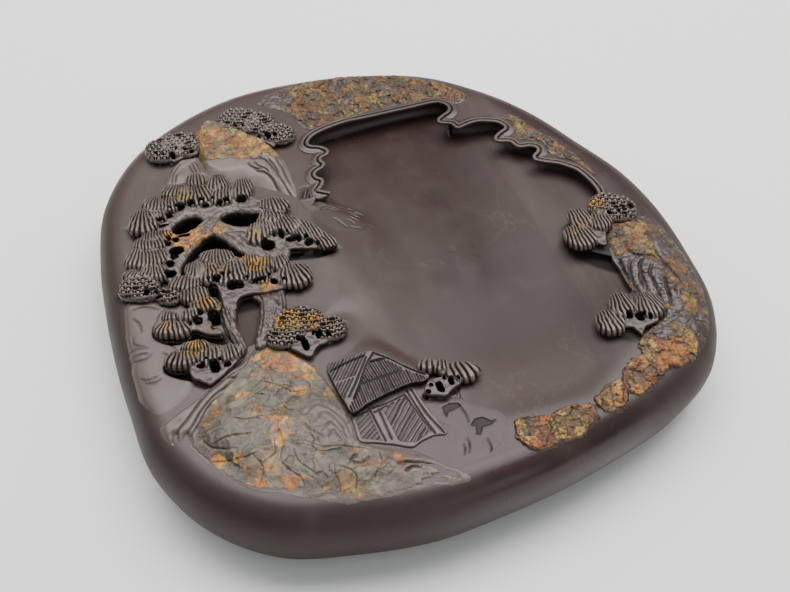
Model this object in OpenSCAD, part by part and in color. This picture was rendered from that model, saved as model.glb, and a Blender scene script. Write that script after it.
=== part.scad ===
// Ink stone: one natural slab of purple-brown stone with a sunken ink pool,
// a cloud-scroll lip, patches of the stone's own rust-coloured crust left
// standing as rocks, and a carved landscape of pines and a thatched hut.
// Millimetres. Origin at the middle of the foot, on the table; +Z up; +Y is
// "up" in the carved landscape, towards the deep end of the pool.

/* [Slab] */
// Height of the polished top face above the table
top_z = 40; // [38:0.5:44]
// Depth of the pool at its far, deep end
deep_end = 10; // [8:0.5:12]
// Depth of the pool at its near, shallow end
shallow_end = 0.7; // [0.5:0.1:1.5]
// Facets along each span of the slab's outline
outline_steps = 3; // [2:1:4]

/* [Relief] */
// Height of the gap under the crowns of the pines
stem_h = 2; // [1.5:0.25:3]
// Thickness of a crown's spreading plate
plate_h = 2; // [1.5:0.25:2.5]
// Height of a crown's needle dome above its plate
dome_h = 1.6; // [1:0.2:2]
// Width of the grooves between a crown's needles
rib_gap = 0.6; // [0.4:0.1:0.8]
// Height of the cloud-scroll lip above the top face
lip_h = 1.6; // [1.2:0.2:2.4]
// Height of the crust bands above the top face
crust_h = 2.2; // [1.6:0.2:3]
// Height of the boulders above the top face
boulder_h = 5; // [4:0.5:6]
// Height of the hut's wall above the top face
wall_h = 1.4; // [1:0.2:2]
// Height of the hut's roof above the top face
roof_h = 3; // [2.4:0.2:4]
// Depth of the dark openings between the branches
window_d = 7; // [5:0.5:9]

/* [Hidden] */
// Depth of the hut's fine cuts
cut_d = 0.4;

// Colours of the stone, its crust and the carved reliefs
c_stone = [0.38, 0.31, 0.30];
c_bank = [0.46, 0.42, 0.40];
c_crust = [0.62, 0.47, 0.30];
c_grey = [0.52, 0.50, 0.45];
c_pine = [0.40, 0.37, 0.33];

// Widest line of the slab, anticlockwise from the right
OUTLINE = [[141,-19],[137,13],[126,44],[113,76],[94,104],[67,129],[32,143],
           [-5,149],[-43,148],[-79,135],[-109,113],[-129,81],[-137,45],[-140,12],
           [-141,-19],[-140,-50],[-137,-82],[-122,-113],[-97,-135],[-65,-145],
           [-34,-150],[-5,-149],[24,-146],[54,-140],[85,-131],[115,-114],[133,-85],[139,-52]];

// Edge profile: [height as a share of top_z, distance inside the widest line]
PROFILE = [[0,20],[0.03,13],[0.1,8],[0.225,4],[0.375,1.3],[0.55,0],[0.7,0.6],
           [0.825,2.6],[0.925,6],[0.98,10],[1,14]];

// Edge of the ink pool at the top face
POOL = [[97,-68],[100,-58],[97,-47],[88,-41],[84,-32],[89,-20],[105,-13],[114,-4],[113,10],[107,22],[98,30],
        [99,38],[92,47],[88,54],[91,64],[84,71],[70,73],[62,78],[66,84],[68,91],
        [62,97],[40,98],[16,97],[-6,95],[-18,90],[-20,82],[-16,76],[-17,70],
        [-23,60],[-22,50],[-25,42],[-31,34],[-34,26],[-34,17],
        [-37,10],[-46,5],[-50,-4],[-52,-12],[-59,-18],[-61,-30],[-54,-36],
        [-47,-44],[-46,-55],[-50,-62],[-42,-64],[-31,-63],[-22,-72],[-12,-83],
        [-4,-86],[0,-92],[-3,-98],[-8,-102],[-6,-112],[-2,-118],[8,-120],
        [22,-121],[36,-122],[50,-121],[61,-115],[70,-109],[80,-103],[85,-96],[77,-91],
        [75,-83],[79,-76],[90,-73]];

// Where the misty slope lies, left of the pool's middle
MIST = [[-46,-2],[-46,52],[-28,53],[-19,47],[-8,38],[4,26],[7,14],[0,4],[-18,-6],[-34,-8]];

// The scrolled edge of the lip over the pool, from its lower left end to its
// right end, and the outer edge of the lip, the same way round
LIP_IN = [[-18,36],[-18,39],[-19,44],[-20,48],[-18,51],[-18,54],[-20,56],[-20,59],
          [-17,61],[-15,62],[-13,65],[-14,68],[-13,70],[-10,71],[-8,74],[-9,77],
          [-12,80],[-16,82],[-16,85],[-12,89],[-4,92],[7,94],[18,94],[28,94],
          [39,94],[50,94],[57,94],[62,93],[65,89],[64,85],[59,82],[56,80],[55,77],
          [57,75],[61,73],[62,70],[64,68],[68,69],[75,70],[81,68],[85,66],[87,63],
          [87,60],[83,58],[79,55],[78,52],[80,50],[85,48],[86,45],[88,42],[93,41],
          [96,39],[95,36],[92,34],[91,31],[92,29],[96,26],[101,23],[105,19],
          [108,15],[110,8],[111,0],[110,-6]];
LIP_OUT = [[-18,36],[-22,40],[-24,46],[-22,52],[-24,57],[-23,62],[-18,66],[-17,71],
           [-12,75],[-14,78],[-19,80],[-20,86],[-16,92],[-7,96],[6,98],[20,98],
           [36,98],[50,98],[60,98],[67,95],[69,89],[67,83],[61,79],[64,76],[70,73],
           [77,74],[85,71],[90,67],[91,60],[86,56],[83,53],[89,50],[91,46],[97,44],
           [100,40],[98,35],[95,32],[100,29],[105,25],[109,20],[112,15],[114,8],
           [115,0],[114,-6],[110,-6]];
// Closes the scrolled edge through the middle of the pool
LIP_REST = [[104,-16],[60,-40],[0,-10],[-16,30]];

FAR_CRUST = [[-40,127],[-32,131],[-15,135],[9,136],[30,131],[46,125],[58,118],
             [64,110],[60,103],[50,101],[36,101],[20,101],[6,101],[-6,99],
             [-14,102],[-17,108],[-25,115],[-35,121]];
RIGHT_CRUST = [[67,110],[76,106],[87,93],[95,80],[102,66],[108,53],[113,41],
               [118,26],[120,14],[117,12],[114,22],[109,29],[103,34],[104,40],
               [101,46],[93,50],[94,58],[95,64],[92,70],[85,75],[77,77],[69,77],
               [72,84],[73,92],[70,99],[66,103]];
RIGHT_BOULDER = [[99,-39],[101,-34],[110,-27],[119,-28],[124,-38],[124,-54],
                 [125,-69],[124,-82],[118,-95],[107,-102],[98,-99],[97,-84],
                 [98,-74],[99,-60],[99,-50]];
NEAR_BLOCKS = [[[86,-101],[92,-98],[104,-105],[105,-112],[94,-119],[83,-114]],
               [[66,-114],[75,-107],[82,-105],[82,-114],[84,-120],[74,-125],[65,-125]],
               [[46,-124],[54,-121],[64,-118],[64,-125],[57,-130],[46,-130]],
               [[11,-123],[22,-123],[31,-124],[44,-124],[45,-130],[38,-135],[27,-136],[17,-136],[9,-132]]];
FRONT_BOULDER = [[-83,-46],[-74,-44],[-67,-49],[-58,-59],[-54,-67],[-52,-78],
                 [-52,-93],[-52,-102],[-49,-109],[-42,-114],[-34,-119],[-28,-125],
                 [-22,-133],[-22,-137],[-37,-138],[-50,-137],[-66,-134],[-81,-128],
                 [-95,-119],[-106,-109],[-114,-97],[-117,-87],[-109,-70],[-98,-61],[-90,-54]];
FRONT_SPUR = [[-128,-73],[-131,-80],[-127,-86],[-122,-87],[-119,-86],[-110,-70],
              [-98,-60],[-91,-54],[-96,-55],[-107,-61]];
PEAK_BOULDER = [[-71,115],[-64,119],[-57,113],[-44,101],[-35,86],[-32,72],[-31,58],
                [-33,50],[-38,45],[-47,52],[-55,61],[-73,77],[-75,89],[-74,103]];
PEAK_LEDGE = [[-97,75],[-94,84],[-89,90],[-81,93],[-76,93],[-77,84],[-78,77],[-86,72]];
HUT_ROOF = [[-53,-70],[-43,-67],[-32,-67],[-23,-76],[-14,-87],[-16,-89],[-22,-87],
            [-30,-88],[-40,-91],[-50,-94],[-51,-82]];
HUT_WALL = [[-50,-95],[-40,-92],[-30,-89],[-22,-89],[-21,-96],[-20,-107],[-18,-116],
            [-21,-116],[-33,-119],[-36,-117],[-47,-111],[-50,-106]];
// Dark openings between the branches, and the arch between the two trunks
WINDOWS = [[[-99,41],[-97,44],[-92,47],[-85,45],[-84,42],[-88,39],[-94,37],[-98,38]],
           [[-75,40],[-71,43],[-66,43],[-62,40],[-56,38],[-58,32],[-63,31],[-70,34]],
           [[-101,8],[-101,12],[-97,19],[-91,25],[-85,30],[-81,30],[-78,27],[-74,20],
            [-70,12],[-73,12],[-77,16],[-82,19],[-87,19],[-93,17],[-97,13]],
           [[-84,-40],[-83,-23],[-80,-18],[-76,-17],[-73,-20],[-74,-28],[-77,-40],[-80,-43]]];
BRANCHES = [[-94,36],[-87,41],[-82,42],[-76,39],[-71,32],[-64,29],[-59,29],[-57,14],
            [-54,4],[-66,4],[-70,10],[-74,20],[-78,28],[-82,31],[-87,30],[-93,24],
            [-99,17],[-103,9],[-107,9],[-106,18],[-101,27]];
LEFT_TRUNK = [[-89,-14],[-88,-10],[-81,-10],[-77,-14],[-81,-17],[-84,-24],[-85,-34],
              [-85,-41],[-86,-46],[-89,-46],[-92,-40],[-93,-33],[-91,-24]];
RIGHT_TRUNK = [[-71,-19],[-69,-17],[-61,-18],[-62,-34],[-69,-39],[-74,-43],[-77,-43],[-73,-30]];

// Crowns, grouped by node: [x, y, half width, rise, fall, turn in degrees].
// Rise and fall are the crown's reach above and below the line of its tips.
C_LOWEST = [[-105,-38,7,3,4,-7],[-113,-48,8,8,6,3],[-98,-48,10,8,8,11]];
C_LOWER_LEFT = [[-99,-8,8,6,5,-3],[-97,-17,8,6,5,11],[-112,-26,8,13,5,-3],[-99,-30,9,6,3,-49]];
C_LEFT_SCALED = [[-118,1,13,10,5,-32]];
C_CENTRE_FRONT = [[-82,-3,8,10,4,-20],[-68,-7,8,7,5,-12],[-99,2,8,4,4,-13]];
C_RIGHT_LOW = [[-54,-12,10,8,6,13]];
C_CENTRE = [[-86,7,14,12,9,-3],[-64,0,11,7,6,-12]];
C_LEFT = [[-110,32,9,9,4,-6],[-115,21,10,7,5,-14],[-114,14,6,6,5,-6]];
C_REACHING = [[-40,11,16,11,8,-39]];
C_KNOT = [[-62,21,5,8,5,-7]];
C_UPPER_RIGHT = [[-49,38,8,6,6,-24],[-53,30,6,7,3,1]];
C_UPPER_LEFT = [[-88,61,13,8,7,-30],[-100,59,9,7,5,-15],[-109,49,10,9,7,-15]];
C_TOP = [[-77,62,10,13,4,-20],[-63,58,8,8,9,3],[-53,49,7,6,4,5]];
C_BOULDER_PINE = [[-57,-47,17,14,10,-10]];
C_HUT_PINE = [[-11,-83,7,5,5,-17],[-1,-92,8,7,7,-18],[-10,-94,8,4,5,-2]];
C_RIGHT_UPPER = [[110,-19,11,10,9,-16],[90,-33,12,17,8,1]];
C_RIGHT_LOWER = [[81,-83,12,8,8,13],[92,-88,8,10,7,7]];
C_FAR_LEFT = [[-88,98,13,13,8,-18]];
C_PEAK_PINE = [[-47,110,14,10,7,-25],[-33,95,11,10,9,-24]];

// ---- curves -------------------------------------------------------------
function cr(a, b, c, d, t) = 0.5 * (2 * b + (c - a) * t + (2 * a - 5 * b + 4 * c - d) * t * t
                                    + (3 * b - a - 3 * c + d) * t * t * t);
// A smooth closed line through the points, k steps from each to the next
function smooth(p, k) = let (n = len(p))
    [for (i = [0:n - 1], j = [0:k - 1])
        cr(p[(i + n - 1) % n], p[i], p[(i + 1) % n], p[(i + 2) % n], j / k)];
function centre(p) = [for (q = p) 1] * p / len(p);
function shrunk(p, s) = let (c = centre(p)) [for (q = p) c + (q - c) * s];
function reversed(p) = [for (i = [len(p) - 1:-1:0]) p[i]];
// Outward unit normal of a closed anticlockwise line at point i
function out(p, i) = let (n = len(p), t = p[(i + 1) % n] - p[(i + n - 1) % n]) [t[1], -t[0]] / norm(t);
function inset(p, d) = [for (i = [0:len(p) - 1]) p[i] - out(p, i) * d];
// A crown seen from above: a wide fan with a shallow belly
function crown_line(c, s) = [for (k = [0:23]) let (a = k * 15, x = c[2] * s * cos(a),
    y = (a < 180 ? c[3] : c[4]) * s * sin(a)) [c[0] + x * cos(c[5]) - y * sin(c[5]), c[1] + x * sin(c[5]) + y * cos(c[5])]];

// The grooves between a crown's needles: narrow rays from its belly to its top
module rays2d(list) {
    for (c = list) translate([c[0], c[1]]) rotate(c[5]) for (k = [-3:3])
        translate([0, -0.4 * c[4]]) rotate(k * 20) translate([-rib_gap / 2, 0.45 * c[3] + 0.2 * c[4]])
            square([rib_gap, c[2] + c[3]]);
}
// A row of n straight parallel cuts, w wide and gap apart, turned by a degrees
module cuts2d(at, a, n, gap, w, len) {
    translate(at) rotate(a) for (k = [0:n - 1]) translate([0, k * gap]) square([len, w]);
}

// ---- slab ---------------------------------------------------------------
LINE = smooth(OUTLINE, outline_steps);
pool_y0 = -120;
pool_y1 = 95;
pool_tilt = atan((deep_end - shallow_end) / (pool_y1 - pool_y0));
mist_tilt = 13;

module slab_body() {
    n = len(LINE);
    m = len(PROFILE);
    pts = [for (r = PROFILE) let (ring = inset(LINE, r[1])) for (q = ring) [q[0], q[1], r[0] * top_z]];
    sides = [for (r = [0:m - 2], i = [0:n - 1], h = [0, 1]) let (j = (i + 1) % n)
        h == 0 ? [r * n + i, (r + 1) * n + i, (r + 1) * n + j] : [r * n + i, (r + 1) * n + j, r * n + j]];
    polyhedron(pts, concat([[for (i = [0:n - 1]) i]], sides, [[for (i = [n - 1:-1:0]) (m - 1) * n + i]]), convexity = 4);
}

// The space over the pool's sloping floor, inside its edge. At its left side a
// misty slope is left standing, from the bank down to the floor
module pool_cut() {
    difference() {
        intersection() {
            linear_extrude(top_z + 10) polygon(smooth(POOL, 2));
            translate([0, pool_y1, top_z - deep_end]) rotate([-pool_tilt, 0, 0])
                translate([-150, -300, 0]) cube([300, 340, 40]);
        }
        intersection() {
            linear_extrude(top_z - 0.3) polygon(MIST);
            translate([-33, 26, top_z - 0.3]) rotate([0, mist_tilt, -13])
                translate([-40, -80, -60]) cube([120, 160, 60]);
        }
    }
}

module windows2d(s = 1) { for (w = WINDOWS) polygon(shrunk(smooth(w, 2), s)); }

module stone_slab() {
    color(c_stone) difference() {
        slab_body();
        pool_cut();
        translate([0, 0, top_z - window_d]) linear_extrude(window_d + 5) windows2d();
    }
}

// ---- flat pieces of relief ----------------------------------------------
module on_top(h, lift = 0) { translate([0, 0, top_z + lift]) linear_extrude(h) children(); }
module shape2d(p, s = 1) { polygon(shrunk(smooth(p, 2), s)); }
module crowns2d(list, s = 1) { for (c = list) polygon(crown_line(c, s)); }

module cloud_lip() {
    color(c_bank) on_top(lip_h) difference() {
        polygon(LIP_OUT);
        polygon(concat(LIP_IN, LIP_REST));
        crowns2d(C_RIGHT_UPPER);
    }
}

module far_crust() { color(c_crust) on_top(crust_h) shape2d(FAR_CRUST); }
module right_crust() { color(c_crust) on_top(crust_h) shape2d(RIGHT_CRUST); }
module near_crust() { color(c_crust) for (b = NEAR_BLOCKS) on_top(crust_h * 0.7) difference() { shape2d(b); shape2d(RIGHT_BOULDER); } }

// A boulder: three terraces, the upper ones drawn in towards the middle
module boulder(p) {
    on_top(boulder_h * 0.4) difference() { shape2d(p); children(); }
    on_top(boulder_h * 0.35, boulder_h * 0.4) difference() { shape2d(p, 0.84); children(); }
    on_top(boulder_h * 0.25, boulder_h * 0.75) difference() { shape2d(p, 0.62); children(); }
}

module front_boulder() { color(c_grey) boulder(FRONT_BOULDER); }
module front_spur() { color(c_bank) on_top(2) difference() { shape2d(FRONT_SPUR); shape2d(FRONT_BOULDER); } }
module peak_boulder() { color(c_bank) boulder(PEAK_BOULDER) { crowns2d(C_TOP); crowns2d(C_UPPER_LEFT); } }
module peak_ledge() { color(c_bank) on_top(2) difference() { shape2d(PEAK_LEDGE); shape2d(PEAK_BOULDER); crowns2d(C_UPPER_LEFT); } }
module right_boulder() { color(c_crust) boulder(RIGHT_BOULDER) { crowns2d(C_RIGHT_UPPER); crowns2d(C_RIGHT_LOWER); } }

// Thatched roof: the straw is a field of parallel cuts in its upper face
module roof2d() { difference() { polygon(HUT_ROOF); shape2d(FRONT_BOULDER); crowns2d(C_HUT_PINE); } }
module hut_roof() {
    color(c_bank) {
        on_top(roof_h - cut_d) roof2d();
        on_top(cut_d, roof_h - cut_d) difference() { roof2d(); cuts2d([-50, -94], -62, 16, 2.2, 0.5, 60); }
    }
}
// Plaited wall: a frame post between two fields of slanting cuts
module wall2d() { difference() { polygon(HUT_WALL); polygon(HUT_ROOF); shape2d(FRONT_BOULDER); crowns2d(C_HUT_PINE); } }
module hut_wall() {
    color(c_stone) {
        on_top(wall_h - cut_d) wall2d();
        on_top(cut_d, wall_h - cut_d) difference() {
            wall2d();
            intersection() { polygon([[-50, -96], [-38, -94], [-35, -114], [-48, -108]]); cuts2d([-56, -96], -35, 8, 2.4, 0.6, 40); }
            intersection() { polygon([[-34, -92], [-23, -91], [-20, -114], [-32, -117]]); cuts2d([-36, -122], 35, 11, 2.4, 0.6, 40); }
        }
    }
}

// ---- pines --------------------------------------------------------------
// Crowns on a short stem, under a spreading plate, under a needle dome.
// The children are what the crowns give way to.
module pine(list) {
    color(c_pine) {
        on_top(stem_h) difference() { crowns2d(list, 0.7); children(); }
        on_top(plate_h, stem_h) difference() { crowns2d(list); children(); }
        on_top(dome_h, stem_h + plate_h) difference() { crowns2d(list, 0.78); rays2d(list); children(); }
    }
}
// Every crown nearer the viewer than level k of the grove, and the openings
GROVE = [C_LOWEST, C_LOWER_LEFT, C_LEFT_SCALED, C_CENTRE_FRONT, C_RIGHT_LOW, C_CENTRE,
         C_LEFT, C_REACHING, C_KNOT, C_UPPER_RIGHT, C_UPPER_LEFT, C_TOP];
module before2d(k) { for (i = [0:1:k - 1]) crowns2d(GROVE[i]); windows2d(); }
module grove(k) { pine(GROVE[k]) { before2d(k); shape2d(FRONT_BOULDER); } }

module lowest_crown() grove(0);
module lower_left_crown() grove(1);
module left_scaled_crown() grove(2);
module centre_front_crown() grove(3);
module right_low_crown() grove(4);
module centre_crown() grove(5);
module left_crown() grove(6);
module reaching_crown() grove(7);
module branch_knot() grove(8);
module upper_right_crown() grove(9);
module upper_left_crown() grove(10);
module top_crown() grove(11);

module pine_branches() { color(c_grey) on_top(stem_h + plate_h * 0.5) difference() { shape2d(BRANCHES); before2d(12); } }
module trunk(p) { color(c_bank) on_top(stem_h + plate_h * 0.4) difference() { shape2d(p); before2d(12); shape2d(FRONT_BOULDER); crowns2d(C_BOULDER_PINE); } }
module left_trunk() trunk(LEFT_TRUNK);
module right_trunk() trunk(RIGHT_TRUNK);

module boulder_pine() { pine(C_BOULDER_PINE) { shape2d(FRONT_BOULDER); polygon(HUT_ROOF); before2d(12); } }
module hut_pine() pine(C_HUT_PINE);
module right_pine_upper() pine(C_RIGHT_UPPER);
module right_pine_lower() pine(C_RIGHT_LOWER);
module far_left_pine() { pine(C_FAR_LEFT) { shape2d(PEAK_BOULDER); shape2d(PEAK_LEDGE); } }
module peak_pine() { pine(C_PEAK_PINE) { shape2d(PEAK_BOULDER); shape2d(FAR_CRUST); } }

stone_slab();
cloud_lip();
far_crust();
right_crust();
near_crust();
front_boulder();
front_spur();
peak_boulder();
peak_ledge();
right_boulder();
hut_roof();
hut_wall();
left_trunk();
right_trunk();
pine_branches();
lowest_crown();
lower_left_crown();
left_scaled_crown();
centre_front_crown();
right_low_crown();
centre_crown();
left_crown();
reaching_crown();
branch_knot();
upper_right_crown();
upper_left_crown();
top_crown();
boulder_pine();
hut_pine();
right_pine_upper();
right_pine_lower();
far_left_pine();
peak_pine();
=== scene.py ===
import bpy
import math
import numpy as np
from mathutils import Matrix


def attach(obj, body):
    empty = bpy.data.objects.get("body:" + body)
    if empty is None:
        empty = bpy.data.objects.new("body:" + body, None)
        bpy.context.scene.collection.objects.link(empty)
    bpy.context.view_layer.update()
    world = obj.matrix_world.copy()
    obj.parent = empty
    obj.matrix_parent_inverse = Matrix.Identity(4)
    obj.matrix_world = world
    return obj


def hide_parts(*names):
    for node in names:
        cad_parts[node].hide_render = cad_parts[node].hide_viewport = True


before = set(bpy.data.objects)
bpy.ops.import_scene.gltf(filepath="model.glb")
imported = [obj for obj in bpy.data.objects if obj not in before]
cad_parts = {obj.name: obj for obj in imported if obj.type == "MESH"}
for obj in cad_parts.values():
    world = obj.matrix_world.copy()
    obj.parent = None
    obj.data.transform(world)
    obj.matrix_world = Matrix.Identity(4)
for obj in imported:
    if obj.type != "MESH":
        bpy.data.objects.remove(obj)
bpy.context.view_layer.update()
import openvdb as vdb

VOX = 0.36          # mm, size of a sculpting cell
FINE = 0.30         # the same for the needles

# =====================================================================
# Numbers of the stone, in millimetres, the same as in the CAD
# =====================================================================
TOP = 40.0
OUTLINE = [(141, -19), (137, 13), (126, 44), (113, 76), (94, 104), (67, 129), (32, 143), (-5, 149),
           (-43, 148), (-79, 135), (-109, 113), (-129, 81), (-137, 45), (-140, 12), (-141, -19),
           (-140, -50), (-137, -82), (-122, -113), (-97, -135), (-65, -145), (-34, -150), (-5, -149),
           (24, -146), (54, -140), (85, -131), (115, -114), (133, -85), (139, -52)]
# height, inset from the widest line
PROFILE = [(0.0, 20.0), (0.35, 16.5), (1.2, 13.0), (2.4, 10.3), (4.0, 8.0), (6.2, 5.8), (9.0, 4.0), (12.0, 2.5), (15.0, 1.3),
           (18.5, 0.4), (22.0, 0.0), (25.0, 0.15), (28.0, 0.6), (30.6, 1.45), (33.0, 2.6), (35.2, 4.1), (37.0, 6.0), (38.3, 8.0),
           (39.2, 10.2), (39.75, 12.4), (40.0, 15.0)]
POOL = [(97, -68), (100, -58), (97, -47), (88, -41), (84, -32), (89, -20), (105, -13), (114, -4), (113, 10),
        (107, 22), (98, 30), (99, 38), (92, 47), (88, 54), (91, 64), (84, 71), (70, 73), (62, 78), (66, 84), (68, 91),
        (62, 97), (40, 98), (16, 97), (-6, 95), (-18, 90), (-20, 82), (-16, 76), (-17, 70),
        (-23, 60), (-22, 50), (-25, 42), (-31, 34), (-34, 26), (-34, 17),
        (-37, 10), (-46, 5), (-50, -4), (-52, -12), (-59, -18), (-61, -30), (-54, -36),
        (-47, -44), (-46, -55), (-50, -65), (-42, -67), (-32, -67), (-24, -75), (-15, -85),
        (-6, -88), (-2, -93), (-4, -98), (-8, -102), (-6, -112), (-2, -118), (8, -120),
        (22, -121), (36, -122), (50, -121), (61, -115), (70, -109), (80, -103), (85, -96), (77, -91),
        (75, -83), (79, -76), (90, -73)]
LIP_IN = [(-22, 46), (-20, 48), (-18, 51), (-18, 54), (-20, 56), (-20, 59),
          (-17, 61), (-15, 62), (-13, 65), (-14, 68), (-13, 70), (-10, 71), (-8, 74), (-9, 77),
          (-12, 80), (-16, 82), (-16, 85), (-12, 89), (-4, 92), (7, 94), (18, 94), (28, 94),
          (39, 94), (50, 94), (57, 94), (62, 93), (65, 89), (64, 85), (59, 82), (56, 80), (55, 77),
          (57, 75), (61, 73), (62, 70), (64, 68), (68, 69), (75, 70), (81, 68), (85, 66), (87, 63),
          (87, 60), (83, 58), (79, 55), (78, 52), (80, 50), (85, 48), (86, 45), (88, 42), (93, 41),
          (96, 39), (95, 36), (92, 34), (91, 31), (92, 29), (96, 26), (101, 23), (105, 19),
          (108, 15), (110, 8), (111, 0), (110, -6)]
LIP_REST = [(104, -16), (60, -40), (0, -10), (-14, 40)]


# =====================================================================
# Small numeric tools
# =====================================================================
def smooth(P, k):
    """Closed smooth line through the points, k steps from each to the next."""
    P = np.asarray(P, float)
    n = len(P)
    out = []
    for i in range(n):
        a, b, c, d = P[(i - 1) % n], P[i], P[(i + 1) % n], P[(i + 2) % n]
        for j in range(k):
            t = j / k
            out.append(0.5 * (2 * b + (c - a) * t + (2 * a - 5 * b + 4 * c - d) * t * t + (3 * b - a - 3 * c + d) * t ** 3))
    return np.array(out)


def smooth_open(P, k):
    P = np.asarray(P, float)
    P = np.vstack([2 * P[0] - P[1], P, 2 * P[-1] - P[-2]])
    out = []
    for i in range(1, len(P) - 2):
        a, b, c, d = P[i - 1], P[i], P[i + 1], P[i + 2]
        for j in range(k):
            t = j / k
            out.append(0.5 * (2 * b + (c - a) * t + (2 * a - 5 * b + 4 * c - d) * t * t + (3 * b - a - 3 * c + d) * t ** 3))
    out.append(P[-2])
    return np.array(out)


def sstep(a, b, x):
    t = np.clip((x - a) / (b - a), 0, 1)
    return t * t * (3 - 2 * t)


def mix(a, b, t):
    return a + (b - a) * t


def line_dist(P, X, Y, closed=False):
    """Distance to a line of points, how far along it (0 to 1) and the side (+1 left)."""
    P = np.asarray(P, float)
    Q = np.roll(P, -1, 0) if closed else P[1:]
    A = P if closed else P[:-1]
    n = len(A)
    best = np.full(X.shape, 1e9)
    along = np.zeros(X.shape)
    side = np.ones(X.shape)
    for i in range(n):
        ax, ay = A[i]
        dx, dy = Q[i] - A[i]
        L = dx * dx + dy * dy + 1e-12
        t = np.clip(((X - ax) * dx + (Y - ay) * dy) / L, 0, 1)
        ex = X - ax - t * dx
        ey = Y - ay - t * dy
        d = ex * ex + ey * ey
        m = d < best
        best = np.where(m, d, best)
        along = np.where(m, (i + t) / n, along)
        side = np.where(m, np.sign(dx * ey - dy * ex + 1e-12), side)
    return np.sqrt(best), along, side


def inside(P, X, Y):
    P = np.asarray(P, float)
    n = len(P)
    c = np.zeros(X.shape, bool)
    for i in range(n):
        x0, y0 = P[i]
        x1, y1 = P[(i + 1) % n]
        if y0 == y1:
            continue
        m = ((y0 > Y) != (y1 > Y)) & (X < (x1 - x0) * (Y - y0) / (y1 - y0) + x0)
        c ^= m
    return c


def sd(P, X, Y):
    """Signed distance to a closed line, negative inside."""
    d, _, _ = line_dist(P, X, Y, True)
    return np.where(inside(P, X, Y), -d, d)


_T = np.random.RandomState(11).rand(256, 256)
_T2 = np.random.RandomState(12).rand(256, 256)
_T3 = np.random.RandomState(13).rand(256, 256)


def vnoise(x, y, seed=0):
    """Smooth value noise, -1 to 1."""
    x = x + seed * 17.31
    y = y + seed * 9.73
    xi = np.floor(x).astype(np.int64)
    yi = np.floor(y).astype(np.int64)
    fx = x - xi
    fy = y - yi
    fx = fx * fx * fx * (fx * (fx * 6 - 15) + 10)
    fy = fy * fy * fy * (fy * (fy * 6 - 15) + 10)
    a = _T[xi & 255, yi & 255]
    b = _T[(xi + 1) & 255, yi & 255]
    c = _T[xi & 255, (yi + 1) & 255]
    d = _T[(xi + 1) & 255, (yi + 1) & 255]
    return (a + (b - a) * fx + (c - a) * fy + (a - b - c + d) * fx * fy) * 2 - 1


def fbm(x, y, seed=0, octaves=4, gain=0.5):
    s = 0
    a = 1.0
    t = 0
    for o in range(octaves):
        s = s + a * vnoise(x * 2.03 ** o, y * 2.03 ** o, seed + o * 3)
        t += a
        a *= gain
    return s / t


def ridged(x, y, seed=0, octaves=4, gain=0.5):
    s = 0
    a = 1.0
    t = 0
    for o in range(octaves):
        s = s + a * (1 - np.abs(vnoise(x * 2.03 ** o, y * 2.03 ** o, seed + o * 3)) * 2)
        t += a
        a *= gain
    return s / t


def cells(x, y, seed=0):
    """Cell noise: distance to the nearest and second nearest centre, and a number per cell."""
    x = x + seed * 5.17
    y = y + seed * 3.71
    xi = np.floor(x).astype(np.int64)
    yi = np.floor(y).astype(np.int64)
    f1 = np.full(x.shape, 9.0)
    f2 = np.full(x.shape, 9.0)
    ident = np.zeros(x.shape)
    for i in (-1, 0, 1):
        for j in (-1, 0, 1):
            cx = xi + i
            cy = yi + j
            px = cx + _T[cx & 255, cy & 255]
            py = cy + _T2[cx & 255, cy & 255]
            d = np.hypot(x - px, y - py)
            m = d < f1
            f2 = np.where(m, f1, np.minimum(f2, d))
            ident = np.where(m, _T3[cx & 255, cy & 255], ident)
            f1 = np.where(m, d, f1)
    return f1, f2, ident


# =====================================================================
# Surfaces of the slab
# =====================================================================
LINE = smooth(OUTLINE, 12)
POOL_S = smooth(POOL, 3)
LIP_LINE = smooth_open(LIP_IN, 5)
LIP_CLOSED = np.vstack([LIP_LINE, np.array(LIP_REST, float)])
PZ = np.array([p[0] for p in PROFILE][::-1])
PD = np.array([p[1] for p in PROFILE][::-1])


def rim_z(inset):
    """Height of the bare top face at a distance inside the widest line."""
    ins = np.array([p[1] for p in PROFILE if p[0] >= 22.0])
    zz = np.array([p[0] for p in PROFILE if p[0] >= 22.0])
    return np.interp(inset, ins, zz)


def floor_z(x, y):
    """Sloping floor of the pool, very slightly dished."""
    z = 30.0 + (95.0 - y) * (9.3 / 215.0)
    z = z + 0.25 * ((x - 30) / 75.0) ** 2
    return z


def bank_z(x, y):
    """The bank's own gentle waviness, ground by hand."""
    return 0.18 * vnoise(x / 34.0, y / 34.0, 5)


WINDOWS = [[(-100, 41), (-97, 45), (-92, 48), (-85, 46), (-83, 42), (-88, 38), (-94, 36), (-99, 37)],
           [(-76, 40), (-71, 44), (-66, 44), (-61, 41), (-55, 38), (-58, 30), (-63, 30), (-71, 33)],
           [(-102, 8), (-102, 13), (-98, 20), (-91, 26), (-85, 31), (-81, 31), (-77, 28), (-73, 20),
            (-69, 12), (-73, 11), (-77, 15), (-82, 18), (-87, 18), (-93, 16), (-97, 12), (-100, 7)],
           [(-85, -41), (-84.9, -29.3), (-84, -20.4), (-82, -14.8), (-79, -11.8), (-75, -11.2), (-71.2, -14.3), (-70.9, -18.4), (-72.2, -24.2), (-75.0, -31.0), (-79, -40)]]


# =====================================================================
# Mesh making
# =====================================================================
ROOT_PIECES = []


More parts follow.
